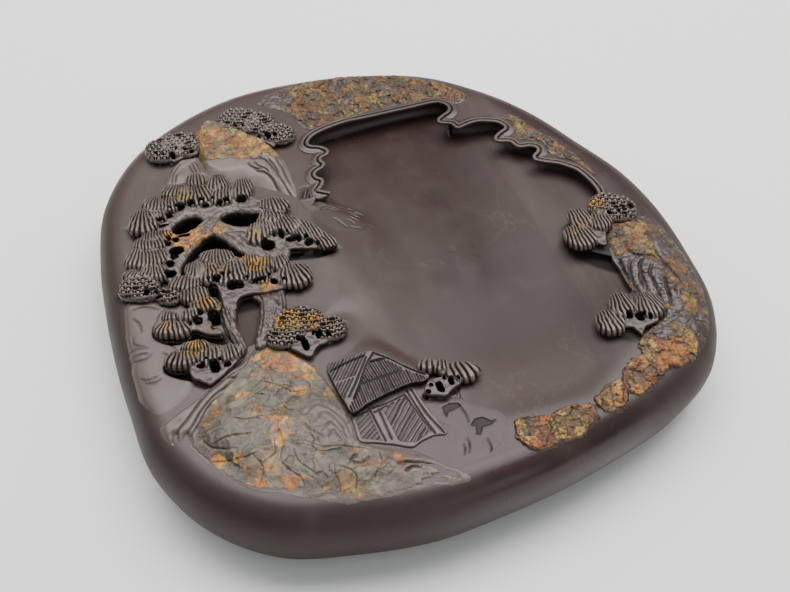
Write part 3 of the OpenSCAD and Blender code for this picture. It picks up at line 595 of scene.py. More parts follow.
def crown(b, kind, cx, cy, a, h, rot, lean, spread, pitch, k):
    """One pine crown: needles combed down over a cap, its tips standing clear of the stone below.
    R ribs, K thick ribs, S rows of scales, P the plain underside round the stem."""
    c, s = math.cos(math.radians(rot)), math.sin(math.radians(rot))
    ext = max(a, h) * 1.25 + 3
    i0, i1 = np.searchsorted(b.x, [cx - ext, cx + ext])
    j0, j1 = np.searchsorted(b.y, [cy - ext, cy + ext])
    X = b.X[i0:i1, j0:j1]
    Y = b.Y[i0:i1, j0:j1]
    if X.size == 0:
        return
    u = (X - cx) * c + (Y - cy) * s + 0.35 * vnoise(X / 4.0, Y / 4.0, k)
    v = -(X - cx) * s + (Y - cy) * c + 0.35 * vnoise(X / 4.0, Y / 4.0, k + 40)
    cl, sl = math.cos(math.radians(lean)), math.sin(math.radians(lean))
    along = u * sl - v * cl                      # down the needles
    across = u * cl + v * sl
    pw = 2.5
    rn = (np.abs(u / a) ** pw + np.abs(v / h) ** pw + 1e-6) ** (1 / pw)
    gx, gy = np.gradient(rn, b.h)
    e = (1 - rn) / np.maximum(np.hypot(gx, gy), 0.5 / max(a, h))
    front = sstep(-0.5, 0.6, along / h)
    z_edge = 42.1 if kind != "P" else 41.2
    if kind in "RK":
        D = a / math.tan(math.radians(max(0.75 * spread, 8) / 2))
        ph = np.arctan2(across, D + along)
        pitch = pitch * (0.84 if pitch < 2.4 else 0.72)
        q = ph * D / pitch + 0.10 * vnoise(along / 2.5, q_id(ph, D, pitch), k + 7) + 0.37 * k
        fr = np.abs(q - np.floor(q) - 0.5) * 2            # 0 on a needle's crest, 1 in a groove
        rid = _T[(np.floor(q).astype(int) + k) & 255, k & 255]
        groove = sstep(0.52, 0.98, fr)
        e2 = e - (0.15 + 0.5 * front) * groove - 0.5 * (rid - 0.5) * front
        R = mix(2.6, 1.9, front)
        dome = np.sqrt(np.clip(1 - np.clip(1 - e2 / R, 0, 1) ** 2, 0, 1))
        zt = 44.2 + 0.9 * sstep(-1.0, 0.5, along / h) - 0.25 * sstep(0.5, 1.0, along / h) + 0.35 * (_T2[k & 255, 3] - 0.5)
        Hh = z_edge + (zt - z_edge) * dome
        deep = 1.9 if pitch > 1.75 else 1.5
        Hh = Hh - 0.55 * (1 - np.sqrt(1 - (0.97 * fr) ** 2)) - (deep - 0.35) * groove * sstep(0.1, 1.2, e + 0.6)
        Hh = Hh + 0.25 * (rid - 0.5)
        M = -e2
        under = 2.6
        # painted shade in the grooves; painted highlight on the crests and along the back rim
        groove_shade_v = sstep(0.50, 0.88, fr) * sstep(-0.4, 1.0, e + 0.8) * mix(0.72, 1.0, front)
        crest_highlight_v = sstep(0.50, 0.05, fr) * (0.35 + 0.65 * rid) * mix(0.40, 1.0, sstep(-0.9, 0.5, along / h))
        back = sstep(1.3, 0.2, e) * (1 - front)
        crest_highlight_v = np.maximum(crest_highlight_v * (1 - back), 0.75 * back)
        groove_shade_v = groove_shade_v * (1 - 0.6 * back)
    elif kind == "S":
        pitch = 1.16 * pitch
        rp = 0.80 * pitch
        al = along + 0.20 * across ** 2 / a + 40 * rp
        row = al / rp
        ri = np.floor(row)
        y = row - ri
        sh = 0.5 * (ri % 2) + 0.30 * (_T[(ri.astype(int) + k) & 255, 5] - 0.5)
        qq = across / pitch + sh + 40.0
        p = qq - np.floor(qq) - 0.5
        j1r = _T2[(ri.astype(int) * 7 + np.floor(qq).astype(int)) & 255, k & 255]
        yc = 0.52 + 0.12 * (j1r - 0.5)
        ry = (y - yc) * 0.95
        dA = np.hypot(p, ry) - 0.27
        dB = np.hypot(p, ry + 0.14) - 0.44
        cut = sstep(-0.03, 0.05, dA) * sstep(0.05, -0.03, dB) * sstep(0.22, 0.10, ry)
        knob = sstep(0.38, 0.10, np.hypot(p, ry - 0.04))
        lost = sstep(0.20, 0.10, j1r) * sstep(0.48, 0.30, np.hypot(p, ry))
        cut = np.maximum(cut, 0.9 * lost)
        knob = knob * (1 - lost)
        R = 2.4
        e2 = e + 0.35 * (0.5 - np.abs(p)) * 2 - 0.2
        dome = np.sqrt(np.clip(1 - np.clip(1 - e2 / R, 0, 1) ** 2, 0, 1))
        zt = 44.7 + 0.3 * (_T2[k & 255, 3] - 0.5)
        Hh = z_edge + (zt - z_edge) * dome
        Hh = Hh + (0.55 * knob - 1.6 * cut) * sstep(0.0, 1.2, e2)
        M = -e2
        under = 2.6
        # painted shade in the pits under the scales, painted highlight on their knobs
        groove_shade_v = cut * sstep(-0.3, 0.6, e)
        crest_highlight_v = (0.12 + (0.40 + 0.60 * j1r) * knob) * (1 - cut)
    else:
        R = 3.0
        e2 = e + 0.3 * vnoise(X / 2.5, Y / 2.5, k)
        dome = np.sqrt(np.clip(1 - np.clip(1 - e2 / R, 0, 1) ** 2, 0, 1))
        Hh = z_edge + 2.2 * dome + 0.12 * vnoise(X / 2, Y / 2, k)
        M = -e2
        under = 1.6
        # no painted groove shade here, and a little painted highlight all over
        groove_shade_v = 0 * e2
        crest_highlight_v = 0.25 + 0 * e2
    gx, gy = np.gradient(Hh, b.h)
    kk = 1.0 / np.sqrt(1 + np.minimum(gx * gx + gy * gy, 9))
    F = np.maximum((b.Z - Hh[:, :, None]) * kk[:, :, None], M[:, :, None])
    # hollow underneath: only the middle reaches the slab
    zb = mix(38.6, z_edge - 0.15, sstep(under + 2.2, under, e))
    F = np.maximum(F, zb[:, :, None] - b.Z)
    # a thin plate just over the slab under the crown, painted black by the darkening near the slab: a painted shadow
    # seen beneath the tips
    st = b.ST[i0:i1, j0:j1]
    shadow_plate = np.maximum(np.maximum(b.Z - st[:, :, None] - 0.15, (0.15 - e)[:, :, None]), st[:, :, None] - 1.5 - b.Z)
    shadow_plate = np.maximum(shadow_plate, b.OFF[i0:i1, j0:j1, None])
    F = np.minimum(F, shadow_plate)
    b.F[i0:i1, j0:j1, :] = np.minimum(b.F[i0:i1, j0:j1, :], F.astype(np.float32))
    # painted highlight on the needles' crests and painted shade in their grooves, kept for the topmost surface
    top = Hh - 2.5 * np.maximum(M, 0)
    sel = (top > b.top[i0:i1, j0:j1]) & (M < 0.7)
    for A, v_ in ((b.top, top), (b.gro, groove_shade_v), (b.cre, crest_highlight_v)):
        A[i0:i1, j0:j1] = np.where(sel, v_, A[i0:i1, j0:j1])


CLIP = {"reaching_crown": smooth([(-62.4, 27.5), (-59.4, 33), (-55.3, 35.5), (-48.3, 34.5), (-41.2, 29.4), (-34.6, 21.2), (-29.2, 11.6), (-26.6, 4.7), (-27.9, 1.2), (-36.4, 2.3), (-48.5, 5.6), (-56.4, 5.7), (-61.3, 13.7), (-64.7, 20.8)], 3)}
GROW = {"reaching_crown": 1.22, "hut_pine": 1.02, "boulder_pine": 0.98, "lower_left_crown": 1.04, "lowest_crown": 1.04, "left_scaled_crown": 1.03, "far_left_pine": 1.0, "peak_pine": 1.0}


def q_id(ph, D, pitch):
    return np.floor(ph * D / pitch) * 1.7


def shade_below(ob, hi, lo, amount=0.85):
    """Undersides, shafts and undercuts get painted shade: darker between two heights over the slab."""
    x, y, z = points(ob).T
    c = get_attr(ob, "hollow_shade")
    set_attr(ob.data, "hollow_shade", np.maximum(c, amount * sstep(hi, lo, z - slab_top(x, y))))


def wear_and_painted_light(ob, e, c=1.0):
    """Less or more painted highlight with wear on the edges, and less or more painted shade in the hollows."""
    set_attr(ob.data, "edge", e * get_attr(ob, "edge"))
    set_attr(ob.data, "hollow_shade", np.clip(c * get_attr(ob, "hollow_shade"), 0, 1))


def normals(ob):
    n = len(ob.data.vertices)
    V = np.empty(n * 3, np.float32)
    ob.data.vertex_normals.foreach_get("vector", V)
    return V.reshape(-1, 3).astype(np.float64)


def shade_walls(ob, drop=None, amount=0.95):
    """The steep cut walls round a raised part are painted dark as shade."""
    k = amount * sstep(0.45, 0.12, np.abs(normals(ob)[:, 2]))
    if drop is not None:
        k = k * sstep(0.25, 0.9, drop)
    set_attr(ob.data, "hollow_shade", np.maximum(get_attr(ob, "hollow_shade"), k))
    set_attr(ob.data, "edge", get_attr(ob, "edge") * (1 - k))


def shafts(b, d):
    """Drilled holes, right through to the pits in the slab."""
    b.F = np.maximum(b.F, -np.maximum(d[:, :, None], (slab_top(b.X, b.Y) - 4.0)[:, :, None] - b.Z).astype(np.float32))


# hollows cut back under the front edge of the crowns, also painted black as shadow bands
RECESS = [smooth(q, 3) for q in (
    [(-120.4, -17.6), (-119.0, -21.2), (-114.7, -22.8), (-107.2, -23.4), (-100.7, -23.4), (-95.1, -27.4), (-91.1, -32.5), (-91.6, -37.6), (-96.3, -35.5), (-100.9, -32.3), (-106.2, -31.3), (-112.7, -31.5), (-118.0, -28.7), (-121.4, -23.6)],
    [(-120.0, -40.7), (-118.0, -44.2), (-111.5, -47.3), (-106.9, -50.4), (-104.8, -52.6), (-99.1, -48.7), (-90.2, -44.3), (-86.1, -42.5), (-87.4, -47.6), (-96.2, -53.3), (-102.5, -57.3), (-105.3, -58.1), (-110.2, -54.5), (-116.7, -50.3), (-121.1, -45.2)],
    [(-57.7, -53.2), (-53.1, -48.9), (-45.3, -45.7), (-38.0, -41.9), (-38.2, -46.5), (-44.2, -51.1), (-51.7, -53.6), (-57.2, -57.6)],
    [(-54.1, 13.2), (-42.9, 10.2), (-27.0, 6.9), (-27.2, 2.3), (-35.5, 0.6), (-44.5, 2.4), (-53.0, 4.6), (-56.1, 8.6)],
    [(-131.0, 12.2), (-129.3, 8.0), (-124.2, 5.7), (-118.9, 4.6), (-119.4, -0.2), (-125.7, 1.0), (-131.0, 3.5), (-132.6, 7.8)],
    [(-67.9, -9.4), (-61.3, -10.5), (-53.5, -7.6), (-46.7, -4.3), (-43.4, -3.8), (-44.0, -9.4), (-51.0, -14.0), (-58.6, -16.4), (-63.3, -16.6), (-68.0, -15.1)],
    [(-118.1, 52.1), (-111.3, 47.4), (-102.3, 45.4), (-103.3, 42.3), (-112.9, 44.3), (-118.5, 48.9)])]


def recess(x, y):
    return np.min([sd(q, x, y) for q in RECESS], 0)


def pine(node, mat):
    pads = PADS[node]
    x0 = min(p[1] - max(p[3], p[4]) * 1.3 for p in pads) - 2.5
    x1 = max(p[1] + max(p[3], p[4]) * 1.3 for p in pads) + 2.5
    y0 = min(p[2] - max(p[3], p[4]) * 1.3 for p in pads) - 2.5
    y1 = max(p[2] + max(p[3], p[4]) * 1.3 for p in pads) + 2.5
    bel = [smooth(q, 3) for q in BELLY.get(node, [])]
    for q in bel:
        x0, x1 = min(x0, q[:, 0].min() - 2), max(x1, q[:, 0].max() + 2)
        y0, y1 = min(y0, q[:, 1].min() - 2), max(y1, q[:, 1].max() + 2)
    b = Box(x0, x1, y0, y1, 36.0, 46.6, FINE)
    b.ST = slab_top(b.X, b.Y)
    b.ton = np.full(b.X.shape, 0.74)
    # the thin plates under the crowns, there only to carry painted black shadow, are left out over the pool
    b.OFF = np.where(b.ST < 37.6, 9.0, 0.6 - sd(POOL_S, b.X, b.Y))       # no bed over the pool
    for i, p in enumerate(pads):
        k = int(abs(p[1]) * 7 + abs(p[2]) * 3)
        if p[0] != "P":
            grow = GROW.get(node, 1.10)
            crown(b, p[0], p[1], p[2], p[3] * grow, p[4] * (grow + 0.03), *p[5:], k)
    for q in bel:
        e = -sd(q, b.X, b.Y) + 0.2 * vnoise(b.X / 2, b.Y / 2, 5)
        H = 42.55 + 0.75 * np.sqrt(np.clip(1 - np.clip(1 - e / 0.7, 0, 1) ** 2, 0, 1)) + 0.32 * fbm(b.X / 2.0, b.Y / 2.0, 6, 4)
        F = relief(b, H, -e, 38.6)
        F = np.maximum(F, mix(38.6, 41.6, sstep(3.0, 1.8, e))[:, :, None] - b.Z)
        # the same thin plate under the underside, painted black as the shadow beneath it
        shadow_plate = np.maximum(np.maximum(b.Z - b.ST[:, :, None] - 0.15, (0.15 - e)[:, :, None]), b.ST[:, :, None] - 1.5 - b.Z)
        b.add(np.minimum(F, np.maximum(shadow_plate, b.OFF[:, :, None])))
        sel = (e > -0.5) & (H > b.top)
        b.top = np.where(sel, H, b.top)
        # no painted groove shade on the underside, and a faint painted highlight along its rim
        b.gro = np.where(sel, 0, b.gro)
        b.cre = np.where(sel, 0.16 * sstep(1.4, 0.4, e), b.cre)
        b.ton = np.where(sel, 0.52, b.ton)
    if node in CLIP:
        b.F = np.maximum(b.F, (sd(CLIP[node], b.X, b.Y) + 0.35 * vnoise(b.X / 1.4, b.Y / 1.4, 3))[:, :, None].astype(np.float32))
    d = drilled(b.X, b.Y)
    shafts(b, d)
    ob = b.mesh(node + "_needles")
    paint(ob, blob_crust, lambda x, y, z: 0.74 + 0.2 * fbm(x / 12, y / 12, 9, 2), cav_scale=0.30, rounds=6)
    x, y, z = points(ob).T
    g, c = from_map(b, b.gro, x, y), from_map(b, b.cre, x, y)
    # painted shade in the grooves, drilled holes, undersides and steep walls; painted highlight on the crests
    hole = sstep(0.35, -0.05, from_map(b, d, x, y))
    set_attr(ob.data, "tone", from_map(b, b.ton, x, y) + 0.2 * fbm(x / 12, y / 12, 9, 2))
    hollow_shade, edge = get_attr(ob, "hollow_shade"), get_attr(ob, "edge")
    set_attr(ob.data, "hollow_shade", np.clip(np.maximum(np.maximum(0.85 * hollow_shade, 0.96 * g), 0.96 * hole * sstep(43.4, 42.6, z)), 0, 1))
    set_attr(ob.data, "edge", np.clip(np.maximum(0.55 * edge, c), 0, 1) * (1 - g) * (1 - hole))
    shade_below(ob, 2.8, 1.7, 0.97)
    shade_walls(ob, from_map(b, b.top, x, y) - z)
    finish_piece(ob, mat, [node])


# =====================================================================
# Materials
# =====================================================================
def lin(r, g, b):
    f = lambda c: (c / 255.0 / 12.92) if c / 255.0 <= 0.04045 else ((c / 255.0 + 0.055) / 1.055) ** 2.4
    return (f(r), f(g), f(b), 1.0)


class Nodes:
    def __init__(s, name):
        s.m = bpy.data.materials.new(name)
        s.m.use_nodes = True
        s.t = s.m.node_tree
        s.t.nodes.clear()
        s.out = s.t.nodes.new("ShaderNodeOutputMaterial")
        s.b = s.t.nodes.new("ShaderNodeBsdfPrincipled")
        s.t.links.new(s.b.outputs[0], s.out.inputs[0])
        tc = s.t.nodes.new("ShaderNodeTexCoord")
        s.co = tc.outputs["Object"]

    def link(s, a, b):
        s.t.links.new(a, b)

    def val(s, sock, v):
        if isinstance(v, (int, float)):
            sock.default_value = v
        elif isinstance(v, tuple):
            sock.default_value = v
        else:
            s.t.links.new(v, sock)

    def noise(s, scale, detail=3.0, rough=0.55, dist=0.0, co=None, kind="FBM", lac=2.0):
        n = s.t.nodes.new("ShaderNodeTexNoise")
        n.noise_dimensions = "3D"
        n.noise_type = kind
        s.link(co or s.co, n.inputs["Vector"])
        n.inputs["Scale"].default_value = scale
        n.inputs["Detail"].default_value = detail
        n.inputs["Roughness"].default_value = rough
        n.inputs["Lacunarity"].default_value = lac
        n.inputs["Distortion"].default_value = dist
        return n.outputs["Fac"]

    def voronoi(s, scale, feature="F1", rnd=1.0, co=None, out="Distance"):
        n = s.t.nodes.new("ShaderNodeTexVoronoi")
        n.feature = feature
        s.link(co or s.co, n.inputs["Vector"])
        n.inputs["Scale"].default_value = scale
        n.inputs["Randomness"].default_value = rnd
        return n.outputs[out]

    def mapping(s, scale=(1, 1, 1), rot=(0, 0, 0), loc=(0, 0, 0)):
        n = s.t.nodes.new("ShaderNodeMapping")
        s.link(s.co, n.inputs[0])
        n.inputs["Location"].default_value = loc
        n.inputs["Rotation"].default_value = rot
        n.inputs["Scale"].default_value = scale
        return n.outputs[0]

    def ramp(s, fac, stops, interp="LINEAR"):
        n = s.t.nodes.new("ShaderNodeValToRGB")
        s.link(fac, n.inputs[0])
        r = n.color_ramp
        r.interpolation = interp
        while len(r.elements) > 1:
            r.elements.remove(r.elements[-1])
        r.elements[0].position = stops[0][0]
        r.elements[0].color = stops[0][1]
        for p, c in stops[1:]:
            e = r.elements.new(p)
            e.color = c
        return n.outputs[0]

    def math(s, op, a, b=None, c=None, clamp=False):
        n = s.t.nodes.new("ShaderNodeMath")
        n.operation = op
        n.use_clamp = clamp
        s.val(n.inputs[0], a)
        if b is not None:
            s.val(n.inputs[1], b)
        if c is not None:
            s.val(n.inputs[2], c)
        return n.outputs[0]

    def step(s, x, a, b, lo=0.0, hi=1.0):
        n = s.t.nodes.new("ShaderNodeMapRange")
        n.interpolation_type = "SMOOTHSTEP"
        s.val(n.inputs[0], x)
        n.inputs[1].default_value = a
        n.inputs[2].default_value = b
        n.inputs[3].default_value = lo
        n.inputs[4].default_value = hi
        return n.outputs[0]

    def mixc(s, fac, a, b, mode="MIX"):
        n = s.t.nodes.new("ShaderNodeMix")
        n.data_type = "RGBA"
        n.blend_type = mode
        s.val(n.inputs[0], fac)
        s.val(n.inputs[6], a)
        s.val(n.inputs[7], b)
        return n.outputs[2]

    def attr(s, name):
        n = s.t.nodes.new("ShaderNodeAttribute")
        n.attribute_type = "GEOMETRY"
        n.attribute_name = name
        return n.outputs["Fac"]

    def bump(s, height, strength, dist, prev=None):
        n = s.t.nodes.new("ShaderNodeBump")
        n.inputs["Strength"].default_value = strength
        n.inputs["Distance"].default_value = dist
        s.link(height, n.inputs["Height"])
        if prev is not None:
            s.link(prev, n.inputs["Normal"])
        return n.outputs[0]


def stone_material(name, rough=0.40, polish=0.26, grey=0.0, orange=0.0, spec=0.5, cf=(0.50, 0.46, 0.41), wear_and_painted_light=0.55, chip=0.0, calm=1.0, rf=None):
    """Purple-brown stone that turns into its own rust-coloured crust where 'crust' is painted."""
    s = Nodes(name)

    def dim(r, g, b):
        c = lin(r, g, b)                     # a crust colour, darker than it looks under the lights
        return (c[0] * cf[0], c[1] * cf[1], c[2] * cf[2], 1.0)

    hollow_shade = s.attr("hollow_shade")
    edge = s.attr("edge")
    crust = s.attr("crust")
    tone = s.attr("tone")
    # --- the stone itself
    big = s.noise(11.0, 4.0, 0.55, 0.6)
    mid = s.noise(60.0, 5.0, 0.6, 0.3)
    fine = s.noise(800.0, 3.0, 0.6)
    blot = s.noise(24.0, 3.0, 0.5, 1.2)
    base = s.ramp(tone, [(0.0, lin(38, 22, 20)), (0.5, lin(60, 45, 40)), (1.0, lin(104, 92, 84))])
    base = s.mixc(s.step(big, 0.42, 0.66, 0.0, 0.40), base, s.mixc(0.5, base, lin(52, 37, 35)))
    base = s.mixc(s.step(blot, 0.55, 0.75, 0.0, 0.28), base, lin(60, 32, 31))
    base = s.mixc(s.step(mid, 0.5, 0.8, 0.0, 0.14), base, lin(90, 80, 68))
    base = s.mixc(s.step(fine, 0.35, 0.75, 0.0, 0.20), base, lin(30, 20, 18))
    streak = s.noise(22.0, 5.0, 0.6, 0.4, s.mapping(scale=(1.0, 0.16, 1.0), rot=(0, 0, 0.25)))
    base = s.mixc(s.step(streak, 0.52, 0.72, 0.0, 0.16), base, lin(104, 92, 84))
    base = s.mixc(s.step(streak, 0.46, 0.28, 0.0, 0.22), base, lin(34, 24, 22))
    # thin pale veins
    vn = s.noise(9.0, 6.0, 0.55, 0.4, s.mapping(rot=(0.3, 0.2, 0.9), loc=(0.11, 0.02, 0.0)))
    vein = s.math("MULTIPLY", s.step(s.math("ABSOLUTE", s.math("SUBTRACT", vn, 0.5)), 0.004, 0.0, 0.0, 0.20), s.step(tone, 0.22, 0.3))
    base = s.mixc(vein, base, lin(92, 80, 70))
    # --- the crust
    a = s.noise(150.0 * calm, 6.0, 0.68, 1.0)
    b = s.noise(330.0 * calm, 5.0, 0.65, 0.6)
    c = s.noise(48.0, 5.0, 0.62, 0.9)
    g = s.noise(90.0 * calm, 6.0, 0.7 * calm ** 0.3, 0.7, s.mapping(loc=(0.05, 0.21, 0.4)))
    cc = s.ramp(a, [(0.30, dim(46, 38, 30)), (0.40, dim(92, 74, 48)), (0.48, dim(138, 108, 58)), (0.55, dim(180, 134, 58)), (0.63, dim(214, 156, 64)), (0.74, dim(246, 216, 146))])
    cg = s.ramp(g, [(0.28, dim(50, 44, 40)), (0.40, dim(92, 86, 78)), (0.50, dim(128, 126, 112)), (0.57, dim(108, 92, 90)), (0.65, dim(156, 150, 130)), (0.78, dim(212, 204, 184))])
    ru = rf or cf
    dr = lambda r, g_, b_: tuple(p * q for p, q in zip(lin(r, g_, b_)[:3], ru)) + (1.0,)
    rust = s.ramp(b, [(0.30, dr(84, 44, 20)), (0.40, dr(160, 88, 30)), (0.48, dr(214, 128, 40)), (0.55, dr(238, 172, 70)), (0.63, dr(255, 226, 160))])
    tint = s.noise(34.0, 4.0, 0.6, 0.8, s.mapping(loc=(0.7, 0.3, 0.1)))
    cg = s.mixc(s.step(tint, 0.5, 0.66, 0.0, 0.5), cg, dim(112, 118, 96))
    cg = s.mixc(s.step(tint, 0.46, 0.32, 0.0, 0.5), cg, dim(116, 96, 94))
    cr = s.mixc(s.step(c, 0.40 - grey, 0.60 - grey), cc, cg)
    c2 = s.noise(85.0, 6.0, 0.68, 1.1, s.mapping(loc=(0.3, 0.1, 0.2)))
    cr = s.mixc(s.step(c2, 0.53 - orange, 0.68 - orange), cr, rust)
    rm = s.math("ADD", s.attr("rust"), s.math("MULTIPLY", s.math("SUBTRACT", s.noise(260.0 * calm, 6.0, 0.72, 0.8), 0.5), 2.4 * calm ** 0.4))
    cr = s.mixc(s.step(rm, 0.30, 0.95, 0.0, 0.92), cr, rust)
    if chip:
        wob = s.t.nodes.new("ShaderNodeVectorMath")
        wob.operation = "MULTIPLY_ADD"
        nz = s.t.nodes.new("ShaderNodeTexNoise")
        s.link(s.co, nz.inputs["Vector"])
        nz.inputs["Scale"].default_value = 170.0
        nz.inputs["Detail"].default_value = 4.0
        s.link(nz.outputs["Color"], wob.inputs[0])
        wob.inputs[1].default_value = (0.0070, 0.0070, 0.0070)
        s.link(s.mapping(scale=(1.0, 0.75, 1.0), rot=(0, 0, 0.5)), wob.inputs[2])
        sep = s.t.nodes.new("ShaderNodeSeparateColor")
        s.link(s.voronoi(235.0, co=wob.outputs[0], out="Color"), sep.inputs[0])
        cells_ = s.math("ADD", s.math("MULTIPLY", sep.outputs[0], 0.60), s.math("MULTIPLY", s.noise(430.0, 5.0, 0.7), 0.55))
        chips_ = s.ramp(cells_, [(0.14, dim(44, 26, 16)), (0.30, dim(116, 62, 26)), (0.42, dim(196, 112, 36)), (0.52, dim(218, 156, 52)), (0.61, dim(246, 202, 104)), (0.70, dim(255, 242, 206)), (0.76, dim(120, 118, 84)), (0.90, dim(84, 62, 42))])
        chips_ = s.mixc(s.step(s.voronoi(235.0, feature="DISTANCE_TO_EDGE", co=wob.outputs[0]), 0.11, 0.01, 0.0, 0.85), chips_, dim(40, 28, 20))
        cr = s.mixc(chip, cr, chips_)
    # painted highlight glints, and painted shade in small pits of the broken surface
    gl = s.noise(560.0, 4.0, 0.65)
    cr = s.mixc(s.step(gl, 0.58, 0.72, 0.0, 0.50 * calm ** 1.5), cr, dim(230, 214, 180))
    cr = s.mixc(s.step(gl, 0.42, 0.28, 0.0, 0.65 * calm ** 1.5), cr, dim(46, 38, 32))
    # thin dark cracks
    ck = s.noise(38.0, 5.0, 0.6, 0.7, s.mapping(loc=(0.2, 0.9, 0.5)))
    cr = s.mixc(s.step(s.math("ABSOLUTE", s.math("SUBTRACT", ck, 0.5)), 0.012, 0.002, 0.0, 0.75), cr, dim(44, 34, 28))
    m = s.math("ADD", crust, s.math("MULTIPLY", s.math("SUBTRACT", s.noise(190.0, 6.0, 0.7, 0.5), 0.5), 1.5))
    m = s.step(m, 0.30, 0.66)
    m = s.math("MULTIPLY", m, s.step(crust, 0.02, 0.15))
    col = s.mixc(m, base, cr)
    # painted shade in the hollows, and painted highlight with wear on the edges
    col = s.mixc(s.math("MULTIPLY", hollow_shade, 1.0, clamp=True), col, lin(8, 6, 5))
    ed = s.math("MULTIPLY", edge, wear_and_painted_light, clamp=True)
    col = s.mixc(ed, col, s.mixc(m, lin(132, 119, 106), dim(236, 212, 170)))
    s.link(col, s.b.inputs["Base Color"])
    r = s.step(tone, 0.1, 0.45, polish, rough)
    r = s.math("ADD", r, s.math("MULTIPLY", s.math("SUBTRACT", mid, 0.5), 0.22))
    r = s.math("ADD", r, s.math("MULTIPLY", m, 0.02))
    r = s.math("ADD", r, s.math("MULTIPLY", s.attr("matte"), 0.30))
    r = s.math("ADD", r, s.math("MULTIPLY", hollow_shade, 0.35), clamp=True)
    s.link(r, s.b.inputs["Roughness"])
    s.b.inputs["Specular IOR Level"].default_value = spec
    n1 = s.bump(fine, 0.22, 0.00010)
    h = s.math("MULTIPLY", s.noise(520.0, 5.0, 0.7), m)
    n2 = s.bump(h, 0.9, 0.0008 * calm, n1)
    s.link(n2, s.b.inputs["Normal"])
    return s.m


MAT_SLAB = stone_material("purple_stone", rough=0.37, polish=0.25, spec=0.38)
MAT_CARVED = stone_material("carved_stone", rough=0.36, polish=0.3, orange=0.05, wear_and_painted_light=0.62, cf=(0.56, 0.48, 0.31), rf=(0.60, 0.50, 0.22))
MAT_HONED = stone_material("honed_stone", rough=0.36)
MAT_ROCK = stone_material("weathered_stone", rough=0.40, grey=0.10, orange=-0.05, cf=(0.50, 0.455, 0.40), calm=0.5, rf=(0.56, 0.47, 0.18))
MAT_PEAK = stone_material("peak_stone", rough=0.40, grey=0.06, orange=0.0, cf=(0.46, 0.42, 0.28), calm=0.8, chip=0.50, rf=(0.52, 0.43, 0.16))
MAT_CRUST = stone_material("crust", rough=0.36, cf=(0.265, 0.225, 0.10), chip=0.72, rf=(0.50, 0.42, 0.13))
MAT_NEAR = stone_material("near_crust", rough=0.34, grey=-0.04, orange=0.05, cf=(0.49, 0.375, 0.14), chip=0.78, rf=(0.52, 0.375, 0.12))


# =====================================================================
# The slab
# =====================================================================
# the pool wall under the right pines, painted dark as shade
WALL_SHADE = smooth([(97, -20), (100, -26), (100, -33), (96.5, -50.7), (92.6, -69.0), (92, -78), (101, -78), (103.2, -64.1), (103.9, -51.8), (105.4, -37.6), (105.7, -24.1)], 3)


# the bank under the two right pines, painted dark as their shadow
SHADE_UNDER_PINES = [smooth(q, 3) for q in ([(80, -26), (90, -16), (104, -12), (106, -40), (100, -58), (91, -52), (84, -43), (80, -36)],
                                      [(72, -84), (76, -96), (84, -99), (92, -96), (97, -90), (96, -78), (84, -76), (76, -78)])]


def slab_tone(x, y, z):
    """Polished and dark on the rim, partly the polish and partly painted shade on the sides turned from the lamps;
    ground and greyer on top; the pool floor carries its painted sheen.
    """
    t = np.full(x.shape, 0.16)
    ins = -sd(LINE, x, y)
    top = mix(sstep(37.0, 39.6, z), sstep(38.8, 39.9, z), sstep(-60, -100, y))
    top = mix(top, sstep(39.6, 40.05, z) * sstep(14, 22, ins), sstep(70, 100, x) * 0.85)
    top = np.maximum(top, sstep(17, 22, ins) * (z > 25) * sstep(100, 80, x))
    dp = sd(POOL_S, x, y)
    lipped = (line_dist(LIP_LINE, x, y)[0] < 9) | (x > 85)
    pool = np.where(lipped, (dp < 0.5) * 1.0, sstep(2.0, -13.0, dp + 2 * fbm(x / 9, y / 9, 19, 3)))
    t = mix(t, mix(0.56, 0.50, sstep(-90, -110, y)) * mix(1.0, 0.6, sstep(85, 110, x)), top * (1 - pool))
    t = mix(t, mix(pool_tone_and_sheen(x, y), 0.56, sstep(37.5, 40.0, z) * (x < 60)), pool * (z > 25))
    return t


MIST_PATCH = [(-33, 50), (-28, 52), (-22, 51), (-17, 47), (-11, 40), (-6, 35), (-2.5, 29), (-5, 21), (-12, 15), (-22, 17), (-29, 27), (-33, 38)]
BANK_PATCH = [(-18, -101), (-8, -99.5), (2, -108), (9, -114), (8, -121), (2, -128), (-4, -132.5), (-14, -131.5), (-18, -124), (-14, -116), (-19, -108)]


